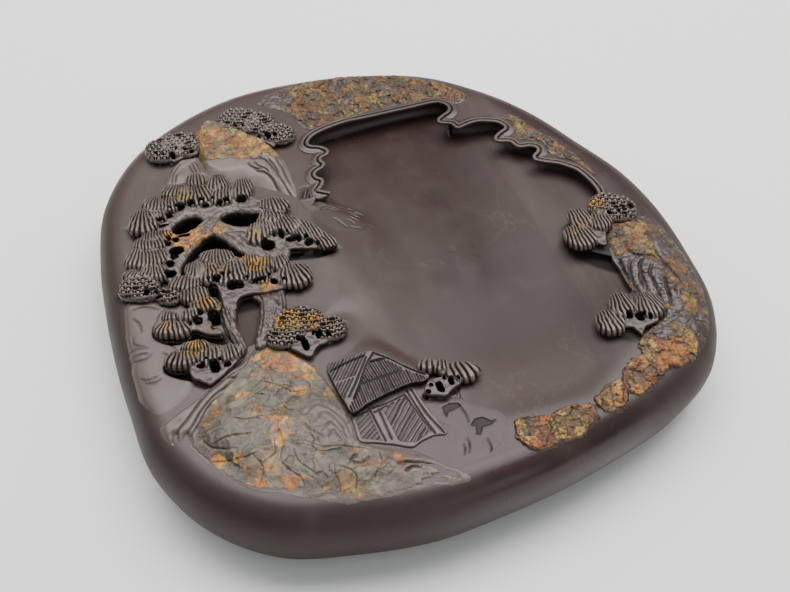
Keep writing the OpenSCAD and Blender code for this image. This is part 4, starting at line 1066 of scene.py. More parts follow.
def build_slab():
    N = 700
    C = np.array([28.0, -12.0])
    # even steps along the outline
    L = smooth(OUTLINE, 40)
    seg = np.hypot(*(np.roll(L, -1, 0) - L).T)
    s = np.concatenate([[0], np.cumsum(seg)])
    tt = np.linspace(0, s[-1], N, endpoint=False)
    Lx = np.interp(tt, s, np.append(L[:, 0], L[0, 0]))
    Ly = np.interp(tt, s, np.append(L[:, 1], L[0, 1]))
    R0 = np.stack([Lx, Ly], 1)
    T = np.roll(R0, -2, 0) - np.roll(R0, 2, 0)
    T /= np.hypot(*T.T)[:, None]
    NRM = np.stack([T[:, 1], -T[:, 0]], 1)
    D = R0 - C
    D /= np.hypot(*D.T)[:, None]

    def ray(P):
        """Distance from C to the closed line P along each direction."""
        out = np.zeros(N)
        A = P
        B = np.roll(P, -1, 0)
        for i in range(N):
            d = D[i]
            e = B - A
            den = d[0] * e[:, 1] - d[1] * e[:, 0]
            w = A - C
            with np.errstate(divide="ignore", invalid="ignore"):
                t = (w[:, 0] * e[:, 1] - w[:, 1] * e[:, 0]) / den
                u = (w[:, 0] * d[1] - w[:, 1] * d[0]) / den
            ok = (np.abs(den) > 1e-12) & (u >= 0) & (u <= 1) & (t > 0)
            out[i] = t[ok].min() if ok.any() else 60
        return out

    rp = ray(POOL_S)
    k = np.array([1, 2, 3, 2, 1.0])
    k /= k.sum()
    rp = np.convolve(np.concatenate([rp[-2:], rp, rp[:2]]), k, "valid")
    pool_edge = C + D * rp[:, None]
    rings = []
    kinds = []
    # underside
    foot = R0 - NRM * 20.0
    for f in (0.0, 0.35, 0.7, 0.94):
        P = C + (foot - C) * f
        if f == 0.0:
            continue
        rings.append(np.column_stack([P, np.full(N, 0.0)]))
    for z, d in PROFILE:
        P = R0 - NRM * d
        rings.append(np.column_stack([P, np.full(N, z)]))
    # bank, from the rim to the pool's edge
    Pin = rings[-1][:, :2]
    Mb = 48
    for i in range(1, Mb + 1):
        f = i / Mb
        P = Pin + (pool_edge - Pin) * f
        rings.append(np.column_stack([P, np.full(N, TOP)]))
    bank_from = 3 + len(PROFILE)
    bank_to = len(rings)
    # the pool's wall: under the lip it is hollowed outwards; at the near and left sides it is a soft step
    ang = np.degrees(np.arctan2(D[:, 1], D[:, 0]))
    x, y = pool_edge.T
    dl, _, _ = line_dist(LIP_LINE, x, y)
    under = sstep(9, 5, dl)                                     # beneath the lip
    under = np.maximum(under, 0.8 * sstep(96, 90, np.hypot(x - 110, (y + 52) * 1.0) + 60) * (x > 70))
    fz = floor_z(x, y)
    depth = TOP - fz
    soft = mix(15.0, 9.0, sstep(1.5, 5.0, depth))
    soft = mix(soft, 5.0, sstep(60, 84, x) * sstep(-108, -92, y))
    wgt = []
    for f in np.linspace(0, 1, 21)[1:]:
        o = np.interp(f, [0.0, 0.06, 0.15, 0.27, 0.40, 0.53, 0.65, 0.77, 0.88, 0.96, 1.0], [0, 0.1, 0.4, 1.2, 1.8, 2.1, 2.2, 1.8, 1.2, 0.3, -0.4])
        off = np.where(under > 0.5, o * under, -soft * f)
        P = pool_edge + D * off[:, None]
        g = np.where(under > 0.5, f, sstep(0, 1, f))
        zz = np.where(under > 0.5, TOP - depth * f, slab_ground(P[:, 0], P[:, 1]))
        wgt.append(np.where(under > 0.5, 1 - g, 0))
        rings.append(np.column_stack([P, zz]))
    wall_to = len(rings)
    last = rings[-1][:, :2]
    Mf = 46
    for i in range(1, Mf):
        f = 1 - (i / Mf) ** 0.9
        f = max(f, 0.0)
        P = C + (last - D * 0.6 - C) * f
        rings.append(np.column_stack([P, slab_ground(P[:, 0], P[:, 1])]))
    V = np.concatenate(rings)
    nr = len(rings)
    # heights of the bank
    lo, hi = bank_from * N, bank_to * N
    X, Y = V[lo:hi, 0], V[lo:hi, 1]
    ins = -sd(LINE, X, Y)
    Z = rim_z(ins) + bank_z(X, Y) * sstep(8, 20, ins)
    for wi, w in enumerate(WINDOWS):
        dw = sd(smooth(w, 3), X, Y)
        dw = dw - (1.8 if wi < 3 else 0.0)
        Z = np.where(dw < 0, Z - (8.0 if wi < 3 else 2.4) * sstep(0.2, -0.8, dw), Z)
    Z = Z - 5.0 * sstep(0.7, -0.3, drilled(X, Y)) * (Z > 37)
    Z = Z - 2.2 * sstep(0.5, -1.2, recess(X, Y)) * (Z > 38)
    V[lo:hi, 2] = Z
    # the wall's top meets the bank
    edge_z = V[hi - N:hi, 2]
    for j in range(bank_to, wall_to):
        V[j * N:(j + 1) * N, 2] += (edge_z - TOP) * wgt[j - bank_to]
    pf = slice(bank_to * N, nr * N)
    px_, py_ = V[pf, 0], V[pf, 1]
    V[pf, 2] = V[pf, 2] - 1.6 * sstep(0.5, -1.2, recess(px_, py_)) * (V[pf, 2] > 36.5)
    # shallow beds under the two engraved skins
    top_ = slice(lo, nr * N)
    for q in (MIST_PATCH, BANK_PATCH):
        V[top_, 2] -= 0.9 * sstep(-0.8, -2.4, sd(smooth(q, 3), V[top_, 0], V[top_, 1]))
    i = np.arange(N)
    j = (i + 1) % N
    quads = []
    for r in range(nr - 1):
        a, b_ = r * N, (r + 1) * N
        quads.append(np.stack([a + i, a + j, b_ + j, b_ + i], 1))
    quads = np.concatenate(quads)
    nV = len(V)
    V = np.vstack([V, [[C[0], C[1], 0.0]], [[C[0], C[1], floor_z(C[0], C[1])]]])
    tris = np.concatenate([np.stack([np.full(N, nV), j, i], 1), np.stack([np.full(N, nV + 1), (nr - 1) * N + i, (nr - 1) * N + j], 1)])
    ob = make_mesh("slab_body", V, quads, tris)

    def crust(x, y, z):
        return np.zeros_like(x)

    paint(ob, crust, slab_tone, cav_scale=2.0, rounds=2)
    set_attr(ob.data, "edge", np.zeros(len(ob.data.vertices)))

    # painted shade: the windows, drilled holes, hollows under the crowns, the arch and the pool wall and bank under the
    # right pines are darkened
    def slab_shade(x, y, z):
        c = np.zeros_like(x)
        for w in WINDOWS[:3]:
            c = np.maximum(c, sstep(4.0, 2.2, sd(smooth(w, 3), x, y)) * (z > 30))
        c = np.maximum(c, sstep(0.9, 0.1, drilled(x, y)) * (z > 30) * (z < slab_top(x, y) - 0.15))
        c = np.maximum(c, 0.96 * sstep(0.5, -0.8, recess(x, y)) * (z > 30))
        c = np.maximum(c, 0.35 * sstep(1.5, -0.5, sd(smooth(WINDOWS[3], 3), x, y)) * (z > 30))
        c = np.maximum(c, 0.80 * sstep(1.0, -1.5, sd(WALL_SHADE, x, y)) * (z > 29))
        for q in SHADE_UNDER_PINES:
            c = np.maximum(c, 0.9 * sstep(1.5, -1.5, sd(q, x, y)) * (z > 29))
        c = np.maximum(c, 0.95 * sstep(1.5, -0.5, sd(smooth(WINDOWS[3], 3), x, y)) * (z > 30) * sstep(-22.5, -18.5, y))
        return c

    set_attr(ob.data, "hollow_shade", vert_fn(ob, slab_shade))
    set_attr(ob.data, "matte", vert_fn(ob, lambda x, y, z: np.maximum(sstep(-40, -110, x + 0.35 * y), 1.1 * sstep(40, 100, x)) * sstep(39.95, 38.0, z) + 1.0 * sstep(-30, -85, y) * sstep(-25, 25, x) * sstep(1.0, -6.0, sd(POOL_S, x, y))))
    finish_piece(ob, MAT_SLAB, ["stone_slab"])


# =====================================================================
# The cloud-scroll lip
# =====================================================================
def build_lip():
    b = Box(-32, 122, -14, 104, 38.2, 43.2)
    S = sd(LIP_CLOSED, b.X, b.Y)
    dl, al, _ = line_dist(LIP_LINE, b.X, b.Y)
    S = np.where(dl < 12, S, 9)
    ins = -sd(LINE, b.X, b.Y)
    w = 6.0
    r = np.clip((S - 0.9) / 0.9, -1, 1)
    bead = 41.2 + 0.85 * np.sqrt(1 - r * r)
    skin = 41.25 - 0.9 * sstep(3.2, w, S)
    H = np.where(S < 1.8, bead, skin)
    G = sstep(0.60, 0.25, np.abs(S - 2.2))
    H = H - 1.25 * G
    H = H + 0.05 * vnoise(b.X / 2.5, b.Y / 2.5, 3)
    H = np.minimum(H, rim_z(ins) + 1.5)
    M = np.maximum(np.maximum(-S, S - w), dl - w)
    zb = mix(40.0, 38.6, sstep(1.6, 3.2, S))
    b.add(relief(b, H, M, zb))
    ob = b.mesh("scroll_lip")
    paint(ob, lambda x, y, z: np.zeros_like(x), lambda x, y, z: mix(0.66, 0.5, sstep(2.4, 5.0, sd(LIP_CLOSED, x, y))), cav_scale=0.4)
    wear_and_painted_light(ob, 0.22)
    # painted shade in the engraved line inside the lip
    engrave(ob, b, G, 0.1, 0.7, 0.93)
    finish_piece(ob, MAT_HONED, ["cloud_lip"])


# =====================================================================
# Crust and rocks
# =====================================================================
def chips(X, Y, size, seed, crack=0.5):
    """Broken surface: tilted facets with cracks between them."""
    wx = X + 0.35 * size * fbm(X / size, Y / size, seed + 1, 2)
    wy = Y + 0.35 * size * fbm(X / size, Y / size, seed + 2, 2)
    f1, f2, idn = cells(wx / size, wy / size, seed)
    ang = idn * 6.283
    tilt = (np.cos(ang) * np.sin(wx / size * 3) + np.sin(ang) * np.cos(wy / size * 3)) * 0.5
    return (idn - 0.5) + 0.5 * tilt - crack * sstep(0.12, 0.0, f2 - f1), sstep(0.12, 0.0, f2 - f1)


FAR = [(-34, 128), (-26, 134), (-16, 137), (-3, 139), (10, 139), (28, 135), (44, 129), (57, 122), (68, 113), (75, 105), (80, 96), (77, 91),
       (70, 90), (66, 96), (58, 99), (40, 99), (20, 99), (2, 97), (-8, 95), (-15, 99), (-17, 108), (-22, 118), (-30, 124)]
RIGHT = [(84, 73), (88, 71), (94, 72), (99, 66), (104, 54), (109, 42), (113, 31), (116, 20), (117, 10), (114, 12), (111, 22), (104, 30), (101, 34), (102, 42),
         (98, 46), (91, 50), (92, 58), (93, 66), (88, 70)]


RIM_RUST = [(73, 103, 1.2), (66, 110, 1.1), (60, 116), (52, 121, .9), (40, 126, .8), (28, 122, .9), (14, 131, .9), (2, 122, 1.1), (-6, 112), (12, 108, .9), (30, 110, 1.1), (44, 112, .8), (96, 62, 1.1), (90, 70, .9), (108, 34, 1.1), (113, 22, .9), (101, 52, .8)]


def rim_band(name, poly, node, x0, x1, y0, y1, seed, size, amp, base, slot_mat, fade=None, ragged=1.4, lipgap=2.6):
    b = Box(x0, x1, y0, y1, 36.5, 43.6)
    X, Y = b.X, b.Y
    ins = -sd(LINE, X, Y)
    M = sd(smooth(poly, 4), X, Y) + ragged * fbm(X / 5, Y / 5, seed + 5, 3)
    Sl = sd(LIP_CLOSED, X, Y)
    dl, _, _ = line_dist(LIP_LINE, X, Y)
    M = np.maximum(M, np.where((dl < 12), lipgap - Sl, -9))
    ch, cr = chips(X, Y, size, seed)
    ch2, _ = chips(X, Y, size * 0.45, seed + 9)
    H = rim_z(ins) + base * sstep(0.3, -2.6, M) + 0.12
    rough = amp * ch + 0.45 * amp * ch2 + 0.35 * amp * fbm(X / 1.1, Y / 1.1, seed + 3, 3) + 0.5 * amp * ridged(X / 9, Y / 9, seed + 4, 3)
    f = 1.0 if fade is None else fade(X, Y)
    H = H + rough * f * sstep(0.0, -1.8, M)
    H = np.where((dl < 14) & (Sl < 8), np.maximum(H, 41.36 - 0.9 * sstep(3.2, 6.5, Sl) + 0.25 * rough * f), H)
    H = np.minimum(H, 43.4)
    zb = rim_z(ins) - 2.2
    b.add(relief(b, H, M * 0.8, zb))
    ob = b.mesh(name)

    def crust(x, y, z):
        d = sd(smooth(poly, 3), x, y)
        c = sstep(0.6, -1.4, d) * (0.72 + 0.75 * fbm(x / 7, y / 7, seed + 40, 3))
        return c if fade is None else c * fade(x, y)

    paint(ob, crust, lambda x, y, z: np.full(x.shape, 0.55), cav_scale=0.30)
    wear_and_painted_light(ob, 0.55, 1.5)
    # painted shade in the cracks between the chips
    engrave(ob, b, cr * (M < -0.5) * f, 0.1, 0.9, 0.6)
    set_attr(ob.data, "rust", vert_fn(ob, lambda x, y, z: 0.9 * spots(x, y, RIM_RUST, 5.0, 34)))
    finish_piece(ob, slot_mat, [node])
    return ob


def build_crust():
    rim_band("far_rim_crust", FAR, "far_crust", -42, 86, 86, 144, 3, 3.4, 0.85, 0.75, MAT_CRUST,
             fade=lambda x, y: sstep(-36, -8, x + 6 * fbm(x / 8, y / 8, 31, 3)) * 0.85 + 0.15)
    rim_band("right_rim_crust", RIGHT, "right_crust", 80, 122, 6, 78, 5, 3.0, 0.8, 0.8, MAT_CRUST)
    blocks = [([(80.8, -103.0), (85.7, -97.3), (94.2, -97.3), (103, -102), (107.5, -106.0), (105.6, -110.9), (100.9, -115.3), (93.2, -118.0), (87.6, -117.1), (81.6, -120.4), (80.9, -114.2)], 21),
              ([(64.5, -118.2), (66.7, -114.3), (69.5, -111.3), (74.4, -108.2), (79.4, -107.5), (80.3, -114.4), (80.5, -120.7), (73.7, -124.3), (68.3, -126.1), (64.3, -123.2)], 22),
              ([(48.5, -124.6), (49.8, -121.4), (58.0, -117.6), (63.3, -116.5), (63.6, -122.1), (61.6, -127.4), (55, -130.2), (50.0, -128.9)], 23),
              ([(27.3, -124.8), (32.7, -122.1), (41.1, -123.0), (46.3, -125.2), (45.6, -130.3), (38.1, -134.7), (35.1, -136.2), (28.8, -136.4), (26.3, -134.8), (26.9, -128.5)], 25),
              ([(12.0, -121.0), (18.0, -121.6), (23.4, -122.7), (26.9, -124.6), (26.4, -128.4), (25.8, -136.2), (15.5, -137.0), (11.9, -134.7), (9.8, -129.2)], 24)]
    b = Box(4, 112, -142, -92, 35.5, 44.2)
    X, Y = b.X, b.Y
    ins = -sd(LINE, X, Y)
    G = np.zeros_like(X)
    for P, seed in blocks:
        ch, c1 = chips(X, Y, 6.0, seed)
        ch2, c2 = chips(X + 0.5 * Y, Y, 2.3, seed + 9)
        M = sd(np.array(P, float), X, Y) - 0.9 + 0.8 * ch2 + 0.8 * fbm(X / 2.6, Y / 2.6, seed, 2)
        H = rim_z(ins) + 0.15 + 0.75 * sstep(0.1, -0.7, M) + (1.05 * ch + 0.60 * ch2 + 0.6 * ridged(X / 7 + Y / 15, Y / 4, seed + 3, 4) + 0.28 * fbm(X / 1.2, Y / 1.2, seed, 3)) * sstep(0.1, -0.8, M)
        H = np.minimum(np.maximum(H, rim_z(ins) + 0.55 * sstep(0.1, -0.7, M)), 44.0)
        G = np.maximum(G, np.maximum(c1, 0.7 * c2) * (M < 0))
        b.add(relief(b, H, M * 0.8, rim_z(ins) - 2.5))
    ob = b.mesh("near_rim_crust")
    allp = [smooth(p[0], 3) for p in blocks]

    def crust(x, y, z):
        d = np.min([sd(p, x, y) for p in allp], 0)
        return sstep(0.8, -0.8, d)

    paint(ob, crust, lambda x, y, z: np.full(x.shape, 0.5), cav_scale=0.34)
    wear_and_painted_light(ob, 0.45, 1.1)
    # painted shade in the cracks between the chips
    engrave(ob, b, G, 0.1, 0.9, 0.75)
    set_attr(ob.data, "rust", vert_fn(ob, lambda x, y, z: 0.45 + 0.5 * fbm(x / 7, y / 7, 33, 3)))
    finish_piece(ob, MAT_NEAR, ["near_crust"])


# =====================================================================
# Engraved lines and carved reliefs
# =====================================================================
def carve(X, Y, lines, w, depth, taper=True):
    """Depth of engraved strokes: each a smooth line, thinning towards its ends."""
    out = np.zeros(X.shape)
    for l in lines:
        P = smooth_open(l, 6) if len(l) > 2 else np.asarray(l, float)
        x0, y0 = P.min(0) - 3 * w
        x1, y1 = P.max(0) + 3 * w
        m = (X > x0) & (X < x1) & (Y > y0) & (Y < y1)
        if not m.any():
            continue
        d, al, _ = line_dist(P, X[m], Y[m])
        a = np.clip(4 * al * (1 - al), 0, 1) ** 0.35 if taper else 1.0
        v = depth * np.exp(-(d / w) ** 2) * a
        out[m] = np.maximum(out[m], v)
    return out


def spots(x, y, pts, r, seed, wob=0.5):
    s = np.zeros_like(x)
    n = fbm(x / (r * 0.7), y / (r * 0.7), seed, 4)
    for p in pts:
        rr = r * (p[2] if len(p) > 2 else 1.0)
        d = np.hypot(x - p[0], y - p[1]) / rr
        s = np.maximum(s, sstep(1.2, 0.3, d + wob * n))
    return s


PEAK = [(-69, 118), (-62, 121), (-55, 116), (-46, 106), (-38, 95), (-34, 84), (-32, 70), (-31, 56), (-32, 47), (-34.5, 43.5), (-38, 43), (-41, 47), (-46, 52),
        (-50, 56), (-58, 63), (-68, 66), (-74, 73), (-75, 82), (-75, 93), (-74, 106)]


def build_peak():
    b = Box(-80, -26, 38, 122, 38.0, 46.2)
    X, Y = b.X, b.Y
    P = smooth(PEAK, 4)
    M = sd(P, X, Y) + 0.35 * vnoise(X / 3, Y / 3, 2)
    top = np.interp(X, [-76, -72, -63, -55, -46, -33], [84, 86, 83.5, 80, 79, 77]) + 1.5 * fbm(X / 4, Y / 4, 8, 3)
    up = sstep(-1.5, 1.5, Y - top)                        # the crusted top
    ch, _ = chips(X, Y, 5.0, 41)
    ch2, _ = chips(X, Y, 2.0, 42)
    wide = mix(13.0, 4.5, sstep(70, 84, Y))
    base = 40 + 4.3 * sstep(0, 1, np.clip(-M / wide, 0, 1)) ** 0.75
    face = -1.5 * sstep(0, 34, top - Y) - 0.7 * sstep(-52, -70, X)
    flank = 0.9 * np.exp(-((X + 35.5 + (Y - 60) * 0.09) / 3.4) ** 2) * sstep(84, 76, Y)
    H = base + face * (1 - up) + flank * (1 - up) + up * (0.55 * ch + 0.3 * ch2 + 0.35 * ridged(X / 6, Y / 6, 43, 4) - 0.1)
    H = H + 0.12 * fbm(X / 7, Y / 7, 44, 3) * (1 - up)
    folds = [[(-49.7, 80.1), (-48.1, 77.8), (-44.2, 77.0), (-41.5, 73.0), (-39.7, 66.5), (-38.2, 58.5), (-37.3, 50.4), (-35.7, 45.1)],
             [(-50.0, 72.0), (-48.3, 68.5), (-45.3, 66.2), (-43.1, 62.0), (-41.9, 54.7), (-40.7, 49.7)], [(-48.5, 76.2), (-46.9, 71.7), (-43.9, 68.6), (-43.1, 65.4)],
             [(-40.8, 75.7), (-39.1, 71.0), (-38.2, 63.6)], [(-51.5, 76.5), (-50.6, 72.6), (-47.5, 69.8), (-44.5, 70.5)], [(-36.2, 76.3), (-35.2, 68.3), (-35.2, 60.8), (-34.6, 53)]]
    G = carve(X, Y, folds, 0.6, 1.0)
    H = H - G
    b.add(relief(b, H, M * 0.9, 38.6))
    ob = b.mesh("peak_rock")

    def crust(x, y, z):
        t = np.interp(x, [-76, -72, -63, -55, -46, -33], [84, 86, 83.5, 80, 79, 77]) + 1.5 * fbm(x / 4, y / 4, 8, 3)
        return sstep(-1.6, 1.2, y - t) * sstep(-31.5, -36, x - 0.3 * (y - 80)) * 0.9

    paint(ob, crust, lambda x, y, z: np.full(x.shape, 0.98), cav_scale=0.4)
    set_attr(ob.data, "rust", vert_fn(ob, lambda x, y, z: 0.75 * spots(x, y, [(-68, 100, 1.2), (-60, 104, 1.1), (-48, 92, 1.3), (-42, 86), (-55, 84, .8), (-72, 112, .8)], 7, 51)))
    wear_and_painted_light(ob, 0.45, 1.2)
    engrave(ob, b, G, 0.15, 0.6, 0.75)
    finish_piece(ob, MAT_PEAK, ["peak_boulder"])

    b = Box(-100, -69, 70, 98, 38.4, 44.2)
    X, Y = b.X, b.Y
    L = [(-97.5, 75), (-94, 82.5), (-89, 90), (-84.5, 94), (-79, 94), (-73.5, 93), (-72, 81), (-72, 74), (-79, 73), (-86, 70.5), (-93, 71.5)]
    M = sd(smooth(L, 4), X, Y)
    H = 40.1 + 2.6 * sstep(0.2, -4, M) + 0.3 * vnoise(X / 5, Y / 5, 3)
    lf = [[(-92.5, 73), (-90, 81.5), (-87, 86.5), (-83, 89)], [(-90.5, 74.5), (-88.5, 80), (-85.5, 83)], [(-77.5, 89), (-76.5, 83.5), (-76, 78)],
          [(-76, 89.5), (-75, 84), (-74.5, 78.5)], [(-74.3, 90), (-73.3, 84.5), (-72.9, 79.5)], [(-79, 88.5), (-78.5, 83), (-78, 78.5)], [(-80.6, 87), (-80.4, 83), (-80, 79)]]
    G = carve(X, Y, lf, 0.45, 0.8)
    H = H - G
    b.add(relief(b, H, M * 0.9, 38.8))
    ob = b.mesh("peak_ledge_rock")
    paint(ob, lambda x, y, z: 0.25 * spots(x, y, [(-93, 77), (-75, 92, .7)], 4, 5), lambda x, y, z: np.full(x.shape, 0.85), cav_scale=0.4)
    wear_and_painted_light(ob, 0.35)
    engrave(ob, b, G, 0.15, 0.6, 0.75)
    finish_piece(ob, MAT_ROCK, ["peak_ledge"])


def vert_fn(ob, f):
    n = len(ob.data.vertices)
    V = np.empty(n * 3, np.float32)
    ob.data.vertices.foreach_get("co", V)
    V = V.reshape(-1, 3).astype(np.float64) * 1000.0
    return f(*V.T)


FRONT = [(-74, -45), (-67, -50), (-62, -57), (-58, -65), (-55.5, -74), (-54, -81), (-52.5, -89.5), (-52.5, -99), (-52.5, -107), (-47.5, -112.5), (-40, -116.5),
         (-32.5, -121), (-27, -127), (-21, -134), (-16, -140), (-24, -140.5), (-31, -139), (-44, -138), (-56, -137), (-67, -134.5), (-76, -130.5), (-82, -127), (-88, -122.5), (-99, -117),
         (-107, -109), (-113.5, -99), (-119, -88), (-117, -80), (-110, -70), (-98, -61), (-90, -54), (-82, -46), (-78, -44)]


def build_front():
    b = Box(-123, -11, -144, -40, 33.5, 46.2)
    X, Y = b.X, b.Y
    ins = -sd(LINE, X, Y)
    P = smooth(FRONT, 4)
    M = sd(P, X, Y) + 0.8 * fbm(X / 6, Y / 6, 61, 3)
    rz = rim_z(ins)
    core = sstep(0, -30, M)
    tail = sstep(-52, -30, X) * sstep(-100, -118, Y)
    rimward = sstep(26, 14, ins) * sstep(-70, -84, Y)
    lift = mix(1.5, 0.35, rimward) * sstep(0.6, -2.6, M) + 2.6 * core + 1.1 * sstep(-3, -14, M)
    lift = lift * (1 - 0.55 * tail)
    # broad lumps, folds and broken strata
    wx = X + 5 * fbm(X / 22, Y / 22, 62, 3)
    wy = Y + 5 * fbm(X / 22, Y / 22, 63, 3)
    lumps = 1.15 * fbm(wx / 19, wy / 19, 64, 3)
    ch, _ = chips(wx, wy, 11.0, 66, 0.12)
    ch2, _ = chips(X, Y, 4.2, 67, 0.06)
    grain = fbm(X / 1.7, Y / 1.7, 68, 4, 0.65)
    flow = vnoise((wx * 0.5 + wy) / 5.5, (wx - wy * 0.5) / 20.0, 65)
    ch3, cr3 = chips(X + 3, Y, 2.2, 69, 0.0)
    rough = 1.1 * lumps + 0.85 * ch + 0.42 * ch2 + 0.14 * ch3 + 0.20 * grain + 0.40 * flow
    # the smooth fold at the right, like an ear
    fd = sd(smooth([(-76, -84), (-70, -78), (-62, -76), (-56, -82), (-53.5, -92), (-53.5, -107), (-58, -111), (-64, -106), (-70, -100), (-76, -94)], 4), X, Y)
    fs = sstep(2.5, -4.5, fd)
    rough = rough * (1 - 0.72 * fs)
    # the outer edge is worn down towards the rim
    worn = sstep(-1, -9, M)
    H = rz + lift * mix(0.62, 1.0, worn) + rough * sstep(0.4, -4, M) * mix(0.55, 1.0, worn) * mix(1, 0.45, rimward) + 0.5 * fs
    H0 = H.copy()
    H = H - carve(X, Y, [[(-86, -63.5), (-80, -68), (-71.5, -75.5), (-64, -76.5), (-57.5, -80)], [(-81, -87), (-83, -93), (-83, -100.5), (-86, -107.5), (-85, -112), (-81, -118), (-80.5, -122.5)],
                         [(-96, -75), (-86, -72), (-82, -70)], [(-113, -97.5), (-102.5, -101), (-94.5, -102)], [(-96.5, -102), (-94, -109), (-98, -116)], [(-110, -91), (-103.5, -90), (-94, -92)],
                         [(-74.5, -102), (-68.5, -107.5), (-59, -109.5), (-49, -114)], [(-80, -104.5), (-79.5, -111), (-74, -120.5)], [(-101, -80), (-94.5, -84.5), (-87, -85)],
                         [(-114, -86.5), (-110.5, -92), (-101.5, -97)], [(-47, -116), (-48, -122), (-53, -128)], [(-66, -118), (-60, -124), (-62, -131)]], 0.34, 0.6)
    H = H - carve(X, Y, [[(-71, -90.5), (-64.5, -86.5), (-59, -90), (-55.5, -98), (-55.5, -106)], [(-68.5, -95), (-62.5, -91), (-58, -96.5), (-57, -106)],
                         [(-66.5, -100.5), (-61.5, -96.5), (-58.5, -102.5)], [(-65, -104), (-61.5, -101), (-59.5, -107)], [(-73, -93), (-71, -98), (-66, -104)]], 0.6, 0.55)
    H = H - carve(X, Y, [[(-55.5, -114), (-59, -117), (-56, -119.5), (-51.5, -117)], [(-42.5, -124.5), (-36.5, -125.5), (-28, -130), (-24.5, -133)], [(-40.5, -129.5), (-37, -128), (-33, -129)],
                         [(-31, -134), (-25, -135), (-22, -137.5)], [(-27.5, -132), (-22.5, -135.5), (-20, -138.5)], [(-35.5, -135), (-30.5, -136), (-25.5, -138)]], 0.75, 1.3)
    G = H0 - H
    H = np.minimum(H, 45.3)
    b.add(relief(b, H, M * 0.8, rz - 2.6))
    ob = b.mesh("front_rock")

    def crust(x, y, z):
        d = sd(P, x, y)
        f = sd(smooth([(-73, -87), (-65, -84), (-57, -88), (-53.5, -97), (-53.5, -107), (-60, -110), (-66, -106), (-70, -100)], 4), x, y)
        c = sstep(0.5, -3.0, d) * (0.30 + 0.70 * sstep(-3.5, 2.0, f + 2.5 * fbm(x / 4, y / 4, 71, 3)))
        c = c * (1 - 0.55 * sstep(-8, -1, d + 2 * fbm(x / 6, y / 6, 73, 3)) * sstep(-112, -120, y))
        return c

    paint(ob, crust, lambda x, y, z: np.full(x.shape, 0.80), cav_scale=0.34, rounds=8)
    orange = [(-80.5, -51.5, 1.3), (-76, -49.5), (-71.5, -61.5, 1.5), (-63.5, -63, 1.2), (-58.5, -71, 1.4), (-56, -77.5), (-69, -66.5, 1.2), (-79.5, -57), (-68.5, -76.5, .8), (-91, -82, .9), (-83.5, -91.5, 1.1), (-83.5, -98, 1),
              (-84.5, -87.5, .8), (-110, -98, 1.0), (-98.5, -114.5, .9), (-85.5, -118, 1.2), (-86, -123.5, .9), (-54.5, -114, .8), (-40, -122.5, .8), (-93.5, -69.5, .7), (-72, -126, .5), (-110, -80, .5), (-102.5, -101, .6),
              (-62, -56, 1.2), (-66, -58, 1.2), (-74, -54, 1.1)]
    set_attr(ob.data, "rust", vert_fn(ob, lambda x, y, z: 0.75 * spots(x, y, orange, 4.4, 72, 1.2)))
    wear_and_painted_light(ob, 0.9, 0.9)
    engrave(ob, b, G * (0.55 + 0.9 * vnoise(X / 2.5, Y / 2.5, 74)), 0.12, 0.6, 0.62)
    x, y, z = points(ob).T
    set_attr(ob.data, "edge", get_attr(ob, "edge") * sstep(-0.5, -4.0, sd(P, x, y)))
    finish_piece(ob, MAT_ROCK, ["front_boulder"])

    # the flat tongue of rock running to the left edge
    b = Box(-135, -80, -93, -44, 33.5, 43.0)
    X, Y = b.X, b.Y
    ins = -sd(LINE, X, Y)
    S = smooth([(-129.5, -73.5), (-121, -68), (-110, -62.5), (-97, -54.5), (-88, -51), (-83, -47), (-88, -56), (-98, -64), (-108, -73), (-114, -82), (-117, -89.5), (-119.5, -81), (-122.5, -84.5), (-124, -79.5), (-126, -84)], 3)
    M = sd(S, X, Y)
    H = rim_z(ins) + 0.15 + 1.5 * sstep(0.2, -2.6, M) + 0.25 * vnoise(X / 4, Y / 4, 4)
    sf = [[(-126, -83), (-124, -80), (-116, -72.5), (-108, -64.5), (-97, -58), (-88.5, -54.5)], [(-128, -73.5), (-121.5, -69.5), (-110, -64), (-97, -56.5)],
          [(-122, -83.5), (-116, -77.5), (-110, -70.5), (-102.5, -64.5), (-91.5, -60)], [(-118.5, -83), (-112.5, -77), (-106.5, -69.5), (-98, -65.5)], [(-97, -57.5), (-92, -58.5), (-87.5, -55.5)]]
    G = carve(X, Y, sf, 0.5, 0.9)
    H = H - G
    b.add(relief(b, H, M * 0.9, rim_z(ins) - 2.0))
    ob = b.mesh("front_spur_rock")
    paint(ob, lambda x, y, z: 0 * x, lambda x, y, z: np.full(x.shape, 0.8), cav_scale=0.45)
    wear_and_painted_light(ob, 0.3)
    engrave(ob, b, G, 0.15, 0.6, 0.7)
    finish_piece(ob, MAT_ROCK, ["front_spur"])

